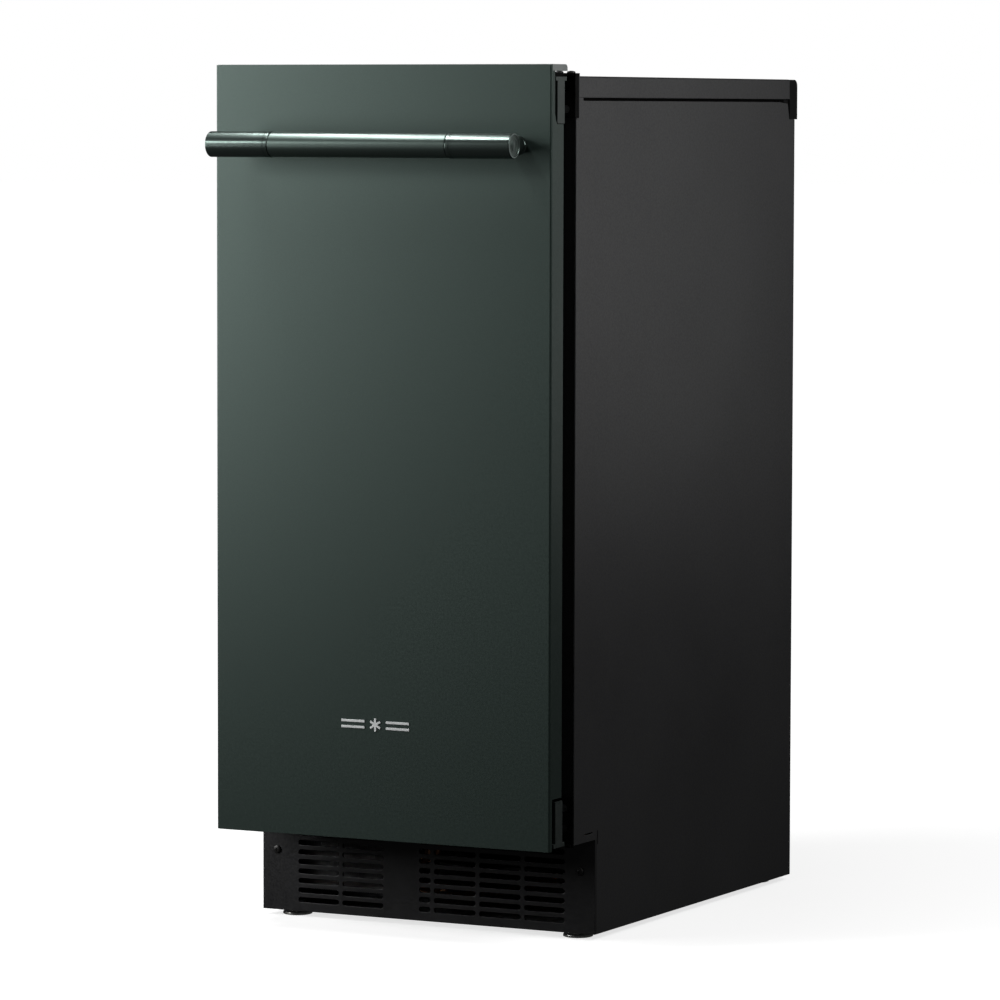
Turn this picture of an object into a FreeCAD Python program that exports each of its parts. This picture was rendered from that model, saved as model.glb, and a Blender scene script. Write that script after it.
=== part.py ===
"""Built-in ice maker: insulated cabinet with an ice bin, a clear-ice plate and
cutter grid above it, a refrigeration compartment below it, and a hinged door.

Row frame: origin on the floor under the middle of the box that holds the whole
machine, +X to the hinge side, +Y to the back, +Z up.  Millimetres.  Depths are
given from the front face of the door, so 0 is that face and + is rearwards.
"""
import FreeCAD, Part
import math
import os
from FreeCAD import Vector

os.makedirs("parts", exist_ok=True)

# ---------------------------------------------------------------- driving sizes
CABINET_WIDTH = 378.0
OVERALL_DEPTH = 634.0
HANDLE_REACH = 55.0        # handle front to door front
FLOOR_GAP = 6.0            # floor to the lowest edge of the cabinet
CABINET_TOP = 854.0
DOOR_WIDTH = 373.5
DOOR_BOTTOM = 100.0
DOOR_TOP = 865.0
DOOR_RETURN = 26.0         # depth of the folded edges of the door skin
CABINET_FACE = 49.0        # door front to the face that the gasket meets
TOE_FACE = 97.0            # door front to the toe grille
CABINET_REAR = 572.0
GUARD_REAR = OVERALL_DEPTH - HANDLE_REACH
TOE_TOP = 101.0
SHEET = 1.5                # cabinet sheet metal
SKIN = 1.2                 # door skin
LINER = 2.5

HALF = CABINET_WIDTH / 2
DOOR_HALF = DOOR_WIDTH / 2
DOOR_FRONT = HANDLE_REACH - OVERALL_DEPTH / 2   # row y of depth 0

# hinge axis, near the rear corner of the door on the +X side
HINGE_X = 174.0
HINGE_DEPTH = 20.5
PIN_RADIUS = 4.0
PIN_CLEARANCE = 0.05

# bin: clear space inside the liner
BIN_HALF = 155.0
BIN_FLOOR = 238.8
BIN_CEILING = 815.2
BIN_REAR = 527.5

# groove between the side panel and the top cover
PANEL_TOP = 830.2
COVER_FLANGE = 833.2
COVER_REAR = 559.0
GUARD_BOTTOM = 812.0

# levelling legs
LEG_PLACES = {
    "front_left": (-160.0, 118.0),
    "front_right": (160.0, 118.0),
    "rear_left": (-160.0, 545.0),
    "rear_right": (160.0, 545.0),
}
LEG_RADIUS = 4.7
NUT_BORE = 5.0


# ---------------------------------------------------------------------- helpers
def block(x0, x1, d0, d1, z0, z1):
    """Box between two x, two depths and two heights."""
    corner = Vector(x0, DOOR_FRONT + d0, z0)
    return Part.makeBox(x1 - x0, d1 - d0, z1 - z0, corner)


def rod(x, depth, z, radius, length, axis=(0, 0, 1)):
    """Cylinder that starts at a point and runs along an axis."""
    base = Vector(x, DOOR_FRONT + depth, z)
    return Part.makeCylinder(radius, length, base, Vector(*axis))


def cone(x, depth, z, r0, r1, length, axis=(0, 0, 1)):
    """Tapered rod from radius r0 at a point to r1 at its far end."""
    base = Vector(x, DOOR_FRONT + depth, z)
    return Part.makeCone(r0, r1, length, base, Vector(*axis))


def join(shapes):
    """One solid from several that meet or overlap."""
    whole = shapes[0].multiFuse(shapes[1:])
    return whole.removeSplitter()


def group(shapes):
    return Part.makeCompound(list(shapes))


def mirrored(shape):
    """The same piece for the other side of the machine."""
    return shape.mirror(Vector(0, 0, 0), Vector(1, 0, 0))


def rounded(shape, radius, chosen):
    """Fillet the edges for which chosen(edge) is true."""
    edges = [edge for edge in shape.Edges if chosen(edge)]
    return shape.makeFillet(radius, edges)


def upright(edge):
    start, end = edge.Vertexes[0].Point, edge.Vertexes[-1].Point
    return abs(start.x - end.x) < 1e-6 and abs(start.y - end.y) < 1e-6


def outline(points, thickness, x0):
    """Plate across x from an outline of (depth, height) points."""
    ring = [Vector(x0, DOOR_FRONT + depth, z) for depth, z in points]
    face = Part.Face(Part.makePolygon(ring + ring[:1]))
    return face.extrude(Vector(thickness, 0, 0))


def obround(x0, x1, depth, z, height, thickness):
    """Bar with round ends that cuts one slot through a front or rear panel."""
    y = DOOR_FRONT + depth
    r = height / 2
    left, right = x0 + r, x1 - r
    top_left = Vector(left, y, z + r)
    top_right = Vector(right, y, z + r)
    low_left = Vector(left, y, z - r)
    low_right = Vector(right, y, z - r)
    edges = [
        Part.makeLine(top_left, top_right),
        Part.Arc(top_right, Vector(x1, y, z), low_right).toShape(),
        Part.makeLine(low_right, low_left),
        Part.Arc(low_left, Vector(x0, y, z), top_left).toShape(),
    ]
    return Part.Face(Part.Wire(edges)).extrude(Vector(0, thickness, 0))


def tube(points, radius, bend):
    """Round bar along straight runs (x, depth, z) joined by tangent arcs."""
    path = [Vector(x, DOOR_FRONT + depth, z) for x, depth, z in points]
    edges = []
    here = path[0]
    for before, corner, after in zip(path, path[1:], path[2:]):
        into = (corner - before).normalize()
        out = (after - corner).normalize()
        turn = into.getAngle(out)
        setback = bend * math.tan(turn / 2)
        start = corner - into * setback
        end = corner + out * setback
        inward = (out - into).normalize()
        middle = corner + inward * (bend / math.cos(turn / 2) - bend)
        if (start - here).Length > 1e-4:
            edges.append(Part.makeLine(here, start))
        edges.append(Part.Arc(start, middle, end).toShape())
        here = end
    if (path[-1] - here).Length > 1e-4:
        edges.append(Part.makeLine(here, path[-1]))
    first = (path[1] - path[0]).normalize()
    ring = Part.Wire(Part.makeCircle(radius, path[0], first))
    return Part.Wire(edges).makePipeShell([ring], True, True)


def serpentine(x0, x1, rows):
    """Points of a tube that runs to and fro between two x, one (depth, z) a row."""
    points = []
    for i, (depth, z) in enumerate(rows):
        ends = (x0, x1) if i % 2 == 0 else (x1, x0)
        points += [(x, depth, z) for x in ends]
    return points


def save(node, shape):
    shape.exportStep("parts/" + node + ".step")


# ------------------------------------------------------------- screws and holes
def screw(x, depth, z, axis, shank=12.0, head=4.2):
    """Pan-head screw whose head sits on the surface at the given point."""
    ax = Vector(*axis)
    base = Vector(x, DOOR_FRONT + depth, z)
    body = Part.makeCylinder(1.9, shank, base, ax * -1)
    cap = Part.makeCylinder(head, 1.4, base, ax)
    crown = Part.makeCone(head, head * 0.6, 0.9, base + ax * 1.4, ax)
    return join([body, cap, crown])


def screw_hole(x, depth, z, axis, reach=13.0):
    ax = Vector(*axis)
    base = Vector(x, DOOR_FRONT + depth, z) + ax * 1.0
    return Part.makeCylinder(2.0, reach, base, ax * -1)


REAR = (0, 1, 0)
FRONT = (0, -1, 0)
TOE_SCREWS = [(-172.0, 68.0), (172.0, 68.0)]
ACCESS_SCREWS = [(x, z) for x in (-180.0, 180.0) for z in (24.0, 118.0, 212.0)]
ACCESS_SCREWS += [(-60.0, 219.0), (60.0, 219.0)]
BACK_SCREWS = [(x, z) for x in (-180.5, 180.5) for z in (330.0, 560.0, 790.0)]
HINGE_TOP_SCREWS = [(168.0, 53.5), (181.0, 53.5)]
HINGE_FACE_SCREWS = [(179.0, 822.0), (179.0, 842.0), (179.0, 118.0), (179.0, 138.0)]

ACCESS_REAR = CABINET_REAR + SKIN
BACK_REAR = 570.3


def make_screws():
    toe = [screw(x, TOE_FACE, z, FRONT, 9.0) for x, z in TOE_SCREWS]
    access = [screw(x, ACCESS_REAR, z, REAR, 4.5) for x, z in ACCESS_SCREWS]
    back = [screw(x, CABINET_REAR, z, REAR, 3.3) for x, z in BACK_SCREWS]
    save("cabinet_screws", group(toe + access + back))
    tops = []
    for x, depth in HINGE_TOP_SCREWS:
        shank = rod(x, depth, 846.0, 1.9, 11.0)
        cap = rod(x, depth, 857.0, 4.2, 1.4)
        crown = cone(x, depth, 858.4, 4.2, 2.6, 0.9)
        tops.append(join([shank, cap, crown]))
    faces = []
    for x, z in HINGE_FACE_SCREWS:
        head = rod(x, 46.5, z, 3.6, 1.4, REAR)
        shank = rod(x, 47.9, z, 1.9, 12.0, REAR)
        faces.append(join([head, shank]))
    save("hinge_screws", group(tops + faces))


def hinge_screw_room():
    """What the hinge screws need cut out of brackets, cover and frame."""
    cuts = [rod(x, d, 840.0, 2.0, 18.0) for x, d in HINGE_TOP_SCREWS]
    for x, z in HINGE_FACE_SCREWS:
        cuts.append(rod(x, 46.4, z, 3.7, 1.55, REAR))
        cuts.append(rod(x, 46.4, z, 2.0, 14.0, REAR))
    return group(cuts)


# ---------------------------------------------------------------- cabinet shell
TONGUE_X = HALF - 3.9      # inner face of the tongue under the top cover


def make_side_panels():
    face = outline([
        (CABINET_FACE, TOE_TOP),
        (TOE_FACE + 2.6, TOE_TOP),
        (TOE_FACE + 2.6, FLOOR_GAP),
        (CABINET_REAR, FLOOR_GAP),
        (CABINET_REAR, GUARD_BOTTOM),
        (558.0, GUARD_BOTTOM),
        (554.0, PANEL_TOP - 1.6),
        (532.0, PANEL_TOP),
        (65.0, PANEL_TOP),
        (65.0, COVER_FLANGE - 0.1),
        (CABINET_FACE, COVER_FLANGE - 0.1),
    ], SHEET, HALF - SHEET)
    shelf = block(TONGUE_X, HALF, 55.5, 532.0, PANEL_TOP - SHEET, PANEL_TOP)
    tongue = block(TONGUE_X, TONGUE_X + SHEET, 55.5, 532.0, PANEL_TOP - SHEET, 850.0)
    rear_fold = block(176.0, HALF, 570.4, CABINET_REAR, FLOOR_GAP, GUARD_BOTTOM - 1.0)
    slit_up = block(180.0, 190.0, 101.4, 102.8, 96.0, 110.0)
    slit_along = block(180.0, 190.0, 72.6, 90.5, 108.0, 109.3)
    panel = join([face, shelf, tongue, rear_fold]).cut(group([slit_up, slit_along]))
    back_holes = [screw_hole(x, CABINET_REAR, z, REAR) for x, z in BACK_SCREWS]
    access_holes = [screw_hole(x, CABINET_REAR, z, REAR) for x, z in ACCESS_SCREWS]
    left = mirrored(panel).cut(group(back_holes + access_holes))
    bracket_room = block(180.0, 190.0, 48.0, 54.9, 813.3, 840.0)
    right = panel.cut(group(back_holes + access_holes + [bracket_room]))
    save("side_panel_left", left)
    save("side_panel_right", right)


def make_base_pan():
    edge = HALF - SHEET - 0.4
    floor = block(-edge, edge, 99.8, 568.4, FLOOR_GAP, FLOOR_GAP + SHEET)
    sides = [block(s * edge - (SHEET if s > 0 else 0), s * edge + (0 if s > 0 else SHEET),
                   99.8, 568.4, FLOOR_GAP, 30.0) for s in (-1, 1)]
    front = block(-edge, edge, 99.8, 101.3, FLOOR_GAP, 13.0)
    rear = block(-edge, edge, 566.9, 568.4, FLOOR_GAP, 24.0)
    nuts = [rod(x, d, FLOOR_GAP, 9.0, 9.0) for x, d in LEG_PLACES.values()]
    holes = [rod(x, d, FLOOR_GAP - 1, NUT_BORE, 12.0) for x, d in LEG_PLACES.values()]
    save("base_pan", join([floor, front, rear] + sides + nuts).cut(group(holes)))


def make_legs():
    """Threaded feet: a hexagonal pad under a stud that runs in the weld nut."""
    for place, (x, depth) in LEG_PLACES.items():
        pad = rod(x, depth, 0.0, 15.0, 3.0)
        corners = [Vector(x + 10.5 * math.cos(math.radians(a)),
                          DOOR_FRONT + depth + 10.5 * math.sin(math.radians(a)), 3.0)
                   for a in range(0, 361, 60)]
        nut = Part.Face(Part.makePolygon(corners)).extrude(Vector(0, 0, 2.9))
        stud = rod(x, depth, 5.0, LEG_RADIUS, 21.0)
        save("levelling_leg_" + place, join([pad, nut, stud]))


def make_top_cover():
    outer = block(-HALF, HALF, CABINET_FACE, COVER_REAR, COVER_FLANGE, CABINET_TOP)
    outer = rounded(outer, 2.0, lambda e: all(abs(v.Z - CABINET_TOP) < 1e-6 for v in e.Vertexes)
                    and abs(e.Vertexes[0].Y - e.Vertexes[1].Y) > 1.0)
    inner = block(-HALF + SHEET, HALF - SHEET, CABINET_FACE + SHEET, COVER_REAR - SHEET,
                  COVER_FLANGE - 1.0, CABINET_TOP - SHEET)
    corner = block(HALF - 1.8, HALF + 1.0, 48.0, 54.9, 830.0, 860.0)
    shell = outer.cut(group([inner, corner]))
    save("top_cover", shell.cut(hinge_screw_room()))


GUARD_WALL = 2.5


def make_rear_guard():
    """Moulded rail over the rear top edge that keeps the unit off the wall."""
    front = COVER_REAR + 0.2
    top = CABINET_TOP - 0.2
    inside_top = top - GUARD_WALL
    outer = block(-HALF, HALF, front, GUARD_REAR, GUARD_BOTTOM, top)
    outer = rounded(outer, 7.0, lambda e: all(abs(v.Z - top) < 1e-6 for v in e.Vertexes)
                    and all(abs(v.Y - DOOR_FRONT - GUARD_REAR) < 1e-6 for v in e.Vertexes))
    hollow = block(-HALF + GUARD_WALL, HALF - GUARD_WALL, front - 1.0,
                   GUARD_REAR - GUARD_WALL, GUARD_BOTTOM - 1.0, inside_top)
    tongues = [block(x0, x0 + 2.0, front - 12.0, front + 1.8, GUARD_BOTTOM,
                     COVER_FLANGE - 0.3) for x0 in (-HALF + 1.8, HALF - 3.8)]
    roots = [block(x0, x0 + 3.8, front, front + 1.8, GUARD_BOTTOM, inside_top)
             for x0 in (-HALF, HALF - 3.8)]
    save("rear_guard", join([outer.cut(hollow)] + tongues + roots))


def make_back_panel():
    sheet = block(-184.8, 184.8, 568.8, BACK_REAR, 205.0, 833.0)
    ribs = [block(x - 9.0, x + 9.0, BACK_REAR, BACK_REAR + 1.6, 260.0, 790.0)
            for x in (-100.0, 0.0, 100.0)]
    ribs = [rounded(rib, 1.2, lambda e: all(
        abs(v.Y - DOOR_FRONT - BACK_REAR - 1.6) < 1e-6 for v in e.Vertexes)) for rib in ribs]
    holes = [screw_hole(x, CABINET_REAR, z, REAR) for x, z in BACK_SCREWS]
    holes += [screw_hole(x, CABINET_REAR, z, REAR) for x, z in ACCESS_SCREWS if z > 205.0]
    save("back_panel", join([sheet] + ribs).cut(group(holes)))


# services that pass through the rear access panel: (x, height, hole radius)
WATER_INLET = (120.0, 60.0, 24.0)
DRAIN_OUTLET = (-132.0, 60.0, 17.0)
CORD_ENTRY = (60.0, 46.0, 9.0)


def make_rear_access_panel():
    sheet = block(-184.0, 184.0, CABINET_REAR, ACCESS_REAR, 10.0, 226.0)
    cuts = [screw_hole(x, ACCESS_REAR, z, REAR) for x, z in ACCESS_SCREWS]
    for row in range(7):
        z = 104.0 + 13.0 * row
        for x0 in (-150.0, -72.0, 10.0, 88.0):
            cuts.append(obround(x0, x0 + 62.0, CABINET_REAR - 1.0, z, 5.0, 4.0))
    for x, z, radius in (WATER_INLET, DRAIN_OUTLET, CORD_ENTRY):
        cuts.append(rod(x, CABINET_REAR - 1.0, z, radius, 4.0, REAR))
    collar = rod(CORD_ENTRY[0], CABINET_REAR - 3.0, CORD_ENTRY[1], 11.5, 6.4, REAR)
    bore = rod(CORD_ENTRY[0], CABINET_REAR - 4.0, CORD_ENTRY[1], 6.0, 9.0, REAR)
    panel = sheet.cut(group(cuts))
    save("rear_access_panel", join([panel, collar]).cut(bore))


def make_front_frame():
    """Breaker frame that closes the cabinet front around the bin opening."""
    plate = block(-HALF + 1.7, HALF - 1.7, CABINET_FACE, 52.0, TOE_TOP, COVER_FLANGE - 0.4)
    opening = block(-154.0, 154.0, 48.0, 53.0, 240.0, 814.0)
    opening = rounded(opening, 12.0, lambda e: abs(e.Vertexes[0].Y - e.Vertexes[1].Y) > 1.0)
    fold = block(-HALF + 1.7, HALF - 1.7, CABINET_FACE, 99.4, TOE_TOP, TOE_TOP + SHEET)
    frame = join([plate.cut(opening), fold])
    save("front_frame", frame.cut(hinge_screw_room()))


def make_toe_grille():
    plate = block(-HALF + 0.2, HALF - 0.2, TOE_FACE, TOE_FACE + 2.5, FLOOR_GAP, TOE_TOP - 0.2)
    fold_top = block(-180.0, 180.0, TOE_FACE, 106.0, 98.8, TOE_TOP - 0.2)
    height, pitch, lowest = 5.3, 9.8, 17.9
    left_bars = [(-147.4, -100.6), (-96.4, -49.4)]
    right_bars = [(-8.3, 4.6), (8.5, 55.6), (59.7, 106.2), (110.3, 155.2)]
    slots = []
    for row in range(8):
        for x0, x1 in left_bars + right_bars:
            slots.append(obround(x0, x1, TOE_FACE - 1.0, lowest + pitch * row, height, 5.0))
    holes = [screw_hole(x, TOE_FACE, z, FRONT) for x, z in TOE_SCREWS]
    save("toe_grille", join([plate, fold_top]).cut(group(slots + holes)))


# ------------------------------------------------------------------ door hinges
def leaf(z0, z1, tail):
    """Flat arm from the hinge pin to the cabinet."""
    arm = block(HINGE_X - 8.0, HINGE_X + 8.0, HINGE_DEPTH, 49.0, z0, z1)
    eye = rod(HINGE_X, HINGE_DEPTH, z0, 8.0, z1 - z0)
    root = block(160.0, HALF - 1.7, 44.0, tail, z0, z1)
    bore = rod(HINGE_X, HINGE_DEPTH, z0 - 1.0, PIN_RADIUS, z1 - z0 + 2.0)
    return join([arm, eye, root]).cut(bore)


def make_hinge_brackets():
    top = leaf(CABINET_TOP, 857.0, 60.0)
    face = block(171.0, HALF - 1.7, 46.5, CABINET_FACE, 813.5, 857.0)
    lip = block(HALF - 1.7, HALF, 46.5, 54.8, 813.5, 857.0)
    upper = join([top, face, lip]).cut(hinge_screw_room())
    save("hinge_bracket_upper", upper)
    bottom = leaf(99.2, 102.0, CABINET_FACE)
    plate = block(171.0, HALF, 46.5, CABINET_FACE, 99.2, 150.0)
    save("hinge_bracket_lower", join([bottom, plate]).cut(hinge_screw_room()))
    save("hinge_pins", group([
        rod(HINGE_X, HINGE_DEPTH, 838.0, PIN_RADIUS, 19.0),
        rod(HINGE_X, HINGE_DEPTH, 99.2, PIN_RADIUS, 19.0),
    ]))


# -------------------------------------------------------------- insulated bin
DRAIN_X = -132.0
DRAIN_DEPTH = 500.0


def make_insulation():
    outer = block(-185.0, 185.0, 52.2, 568.6, 206.0, 830.0)
    inside = block(-BIN_HALF - LINER, BIN_HALF + LINER, 50.0, BIN_REAR + LINER,
                   BIN_FLOOR - LINER, BIN_CEILING + LINER)
    duct = block(72.0, 152.0, 540.0, 558.0, 200.0, 782.0)
    entry = block(60.0, 92.0, 525.0, 556.0, 738.0, 782.0)
    drain = rod(DRAIN_X, DRAIN_DEPTH, 200.0, 11.0, 45.0)
    flange = block(-BIN_HALF - 12.0, BIN_HALF + 12.0, 50.0, 55.0,
                   BIN_FLOOR - 12.0, BIN_CEILING + 12.0)
    foam = outer.cut(group([inside, duct, entry, drain, flange]))
    save("cabinet_insulation", foam.cut(hinge_screw_room()))


def make_liner():
    """White plastic bin liner with a front flange, rails and support pegs."""
    outer = block(-BIN_HALF - LINER, BIN_HALF + LINER, 52.2, BIN_REAR + LINER,
                  BIN_FLOOR - LINER, BIN_CEILING + LINER)
    lip = block(-BIN_HALF - 11.0, BIN_HALF + 11.0, 52.2, 54.6,
                BIN_FLOOR - 11.0, BIN_CEILING + 11.0)
    space = block(-BIN_HALF, BIN_HALF, 50.0, BIN_REAR, BIN_FLOOR, BIN_CEILING)
    shell = join([outer, lip]).cut(space)
    rails = [block(x0, x0 + 8.5, 292.0, 506.0, 630.0, 638.0)
             for x0 in (-BIN_HALF - 0.5, BIN_HALF - 8.0)]
    pegs = [rod(s * (BIN_HALF + 0.5), depth, z, 6.0, 12.0, (-s, 0, 0))
            for s in (-1, 1) for depth, z in ((104.0, 659.6), (262.0, 687.5))]
    line_hole = block(62.0, 92.0, BIN_REAR - 2.0, BIN_REAR + 4.0, 740.0, 780.0)
    drain = rod(DRAIN_X, DRAIN_DEPTH, BIN_FLOOR - 5.0, 9.2, 10.0)
    save("bin_liner", join([shell] + rails + pegs).cut(group([line_hole, drain])))


def make_bin_sensor():
    """Thermistor in a clip on the bin wall; ice that covers it stops the machine."""
    clip = block(-BIN_HALF, -BIN_HALF + 7.0, 210.0, 236.0, 560.0, 578.0)
    clip = rounded(clip, 2.0, lambda e: e.BoundBox.XMin > -BIN_HALF + 6.9)
    probe = rod(-BIN_HALF + 10.0, 206.0, 569.0, 3.2, 40.0, (0, 1, 0))
    lug = block(-BIN_HALF + 5.0, -BIN_HALF + 8.5, 218.0, 228.0, 565.0, 573.0)
    save("bin_sensor", join([clip, probe, lug]))


def make_drain():
    """Bin drain: a flanged tube through the floor and out of the back."""
    flange = rod(DRAIN_X, DRAIN_DEPTH, BIN_FLOOR, 17.0, 2.4)
    path = [(DRAIN_X, DRAIN_DEPTH, BIN_FLOOR), (DRAIN_X, DRAIN_DEPTH, 120.0),
            (DRAIN_X, 548.0, 60.0), (DRAIN_X, 574.0, 60.0)]
    outside = tube(path, 9.0, 34.0)
    inside = tube(path, 7.0, 34.0)
    mouth = rod(DRAIN_X, DRAIN_DEPTH, BIN_FLOOR - 1.0, 7.0, 5.0)
    spigot = rod(DRAIN_X, 562.0, 60.0, 9.5, 16.5, REAR)
    spigot_bore = rod(DRAIN_X, 568.0, 60.0, 7.0, 14.0, REAR)
    body = join([outside, flange, spigot])
    save("drain_fitting", body.cut(inside).cut(group([mouth, spigot_bore])))


# -------------------------------------------------------- machine compartment
FAN_X = -95.0
FAN_Z = 103.0
COMPRESSOR_X = -70.0
COMPRESSOR_DEPTH = 436.0
COIL_ROWS = [34.0 + 28.0 * i for i in range(6)]
COIL_DEPTHS = (122.0, 142.0)
COIL_BEND = 13.99
FIN_PITCH = 4.1
FIN_COUNT = 32


def make_condenser():
    plate = block(-160.0, -159.4, 112.0, 152.0, 27.6, 188.0)
    holes = [rod(-161.0, d, z, 4.15, 3.0, (1, 0, 0)) for d in COIL_DEPTHS for z in COIL_ROWS]
    fin = plate.cut(group(holes))
    fins = []
    for i in range(FIN_COUNT):
        copy = fin.copy()
        copy.translate(Vector(FIN_PITCH * i, 0, 0))
        fins.append(copy)
    save("condenser_fins", group(fins))
    runs = []
    for depth in COIL_DEPTHS:
        points = serpentine(-10.0, -176.0, [(depth, z) for z in COIL_ROWS])
        points[0] = (0.0, depth, COIL_ROWS[0])
        runs.append(tube(points, 4.0, COIL_BEND))
    save("condenser_coil", group(runs))


def make_fan():
    ring = rod(FAN_X, 153.0, FAN_Z, 66.0, 24.0, REAR)
    plate = block(-164.0, -24.0, 153.0, 156.0, 16.0, 190.0)
    bore = rod(FAN_X, 150.0, FAN_Z, 62.0, 30.0, REAR)
    save("fan_shroud", join([plate, ring]).cut(bore))
    can = rod(FAN_X, 196.0, FAN_Z, 30.0, 40.0, REAR)
    shaft = rod(FAN_X, 168.0, FAN_Z, 3.0, 30.0, REAR)
    hoop = rod(FAN_X, 192.0, FAN_Z, 34.0, 6.0, REAR)
    arms = []
    for angle in (90.0, 210.0, 330.0):
        arm = block(FAN_X + 28.0, FAN_X + 68.0, 194.0, 197.0, FAN_Z - 6.0, FAN_Z + 6.0)
        foot = block(FAN_X + 66.1, FAN_X + 69.0, 156.0, 197.0, FAN_Z - 6.0, FAN_Z + 6.0)
        spider = join([arm, foot])
        spider.rotate(Vector(FAN_X, DOOR_FRONT, FAN_Z), Vector(0, 1, 0), angle)
        arms.append(spider)
    save("fan_motor", join([can, shaft, hoop] + arms))
    hub = rod(FAN_X, 169.0, FAN_Z, 16.0, 17.0, REAR)
    blades = []
    for i in range(5):
        blade = block(FAN_X + 12.0, FAN_X + 58.0, 176.0, 177.8, FAN_Z - 15.0, FAN_Z + 15.0)
        blade.rotate(Vector(FAN_X, DOOR_FRONT + 177.0, FAN_Z), Vector(1, 0, 0), 26.0)
        blade.rotate(Vector(FAN_X, DOOR_FRONT, FAN_Z), Vector(0, 1, 0), 72.0 * i)
        blades.append(blade)
    shaft_bore = rod(FAN_X, 168.0, FAN_Z, 3.0 + PIN_CLEARANCE, 20.0, REAR)
    rim = rod(FAN_X, 160.0, FAN_Z, 59.0, 32.0, REAR)
    fan = join([hub] + [b.common(rim) for b in blades])
    save("fan_blade", fan.cut(shaft_bore))


def make_compressor():
    centre = Vector(COMPRESSOR_X, DOOR_FRONT + COMPRESSOR_DEPTH, 0)
    profile = [
        Part.makeLine(Vector(0, 0, 24), Vector(44, 0, 24)),
        Part.Arc(Vector(44, 0, 24), Vector(63, 0, 33), Vector(71, 0, 52)).toShape(),
        Part.makeLine(Vector(71, 0, 52), Vector(71, 0, 92)),
        Part.makeLine(Vector(71, 0, 92), Vector(75, 0, 94)),
        Part.makeLine(Vector(75, 0, 94), Vector(75, 0, 99)),
        Part.makeLine(Vector(75, 0, 99), Vector(71, 0, 101)),
        Part.makeLine(Vector(71, 0, 101), Vector(71, 0, 138)),
        Part.Arc(Vector(71, 0, 138), Vector(58, 0, 166), Vector(30, 0, 178)).toShape(),
        Part.makeLine(Vector(30, 0, 178), Vector(0, 0, 179)),
        Part.makeLine(Vector(0, 0, 179), Vector(0, 0, 24)),
    ]
    can = Part.Face(Part.Wire(profile)).revolve(Vector(0, 0, 0), Vector(0, 0, 1), 360)
    can.translate(centre)
    cx, cd = COMPRESSOR_X, COMPRESSOR_DEPTH
    plate = block(cx - 90.0, cx + 90.0, cd - 62.0, cd + 62.0, 22.0, 25.0)
    plate = rounded(plate, 14.0, upright)
    terminal = block(cx + 60.0, cx + 92.0, cd - 24.0, cd + 24.0, 76.0, 134.0)
    stubs = [rod(cx + 40.0, cd - 40.0, 150.0, 4.0, 30.0), rod(cx, cd - 30.0, 170.0, 3.0, 18.0)]
    feet = [(cx + sx * 78.0, cd + sy * 50.0) for sx in (-1, 1) for sy in (-1, 1)]
    holes = [rod(x, d, 18.0, 5.3, 12.0) for x, d in feet]
    save("compressor", join([can, plate, terminal] + stubs).cut(group(holes)))
    grommets = []
    for x, d in feet:
        lower = rod(x, d, FLOOR_GAP + SHEET, 10.0, 22.0 - FLOOR_GAP - SHEET)
        neck = rod(x, d, 22.0, 5.0, 3.0)
        cap = rod(x, d, 25.0, 8.5, 4.0)
        grommets.append(join([lower, neck, cap]))
    save("compressor_grommets", group(grommets))


def make_refrigerant_parts():
    body = rod(60.0, 330.0, 64.0, 12.0, 66.0)
    low = cone(60.0, 330.0, 48.0, 4.5, 12.0, 16.0)
    high = cone(60.0, 330.0, 130.0, 12.0, 4.5, 16.0)
    save("filter_drier", join([body, low, high]))
    feed = tube([(60, 330, 48), (60, 330, 28), (30, 200, 24), (12, 122, 30)], 3.0, 9.0)
    suction = tube([(60, 330, 146), (60, 330, 193), (130, 430, 193), (140, 549, 193),
                    (140, 549, 748), (84, 549, 748), (84, 505, 748)], 4.0, 20.0)
    hot = tube([(-30, 396, 180), (-30, 396, 194), (30, 440, 190), (122, 549, 190),
                (122, 549, 772), (76, 549, 772), (76, 512, 772)], 3.0, 6.0)
    save("refrigerant_lines", group([feed, suction, hot]))


def make_water_valve():
    """Solenoid inlet valve with its hose thread through the rear panel."""
    x, z, _ = WATER_INLET
    body = block(x - 20.0, x + 20.0, 524.0, 560.0, z - 18.0, z + 18.0)
    body = rounded(body, 4.0, upright)
    coil = rod(x, 542.0, z + 18.0, 16.0, 34.0)
    thread = rod(x, 560.0, z, 13.1, 18.5, REAR)
    mouth = rod(x, 566.0, z, 9.0, 14.0, REAR)
    ear = block(x - 34.0, x + 34.0, 557.0, 560.0, z - 10.0, z + 10.0)
    save("water_inlet_valve", join([body, coil, thread, ear]).cut(mouth))


# ------------------------------------------------------------- ice-making deck
PLATE_TILT = 10.0
PLATE_X = (-136.0, 88.0)
PLATE_FRONT = (300.0, 728.0)       # depth and height of its front edge
GRID_FRONT = (96.0, 668.0)


def tilted(shape, place):
    """Turn a level piece so that its rear is higher, about its front edge."""
    depth, z = place
    shape.rotate(Vector(0, DOOR_FRONT + depth, z), Vector(1, 0, 0), PLATE_TILT)
    return shape


def make_evaporator():
    x0, x1 = PLATE_X
    depth, z = PLATE_FRONT
    sheet = block(x0, x1, depth, depth + 196.0, z, z + 1.6)
    rims = [
        block(x0, x0 + 1.6, depth, depth + 196.0, z, z + 16.0),
        block(x1 - 1.6, x1, depth, depth + 196.0, z, z + 16.0),
        block(x0, x1, depth + 194.4, depth + 196.0, z, z + 16.0),
    ]
    save("evaporator_plate", tilted(join([sheet] + rims), PLATE_FRONT))
    rows = [(depth + 22.0 + 30.0 * i, z - 4.1) for i in range(6)]
    points = serpentine(x0 + 14.0, x1 - 14.0, rows)
    save("evaporator_coil", tilted(tube(points, 4.0, 14.99), PLATE_FRONT))


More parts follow.
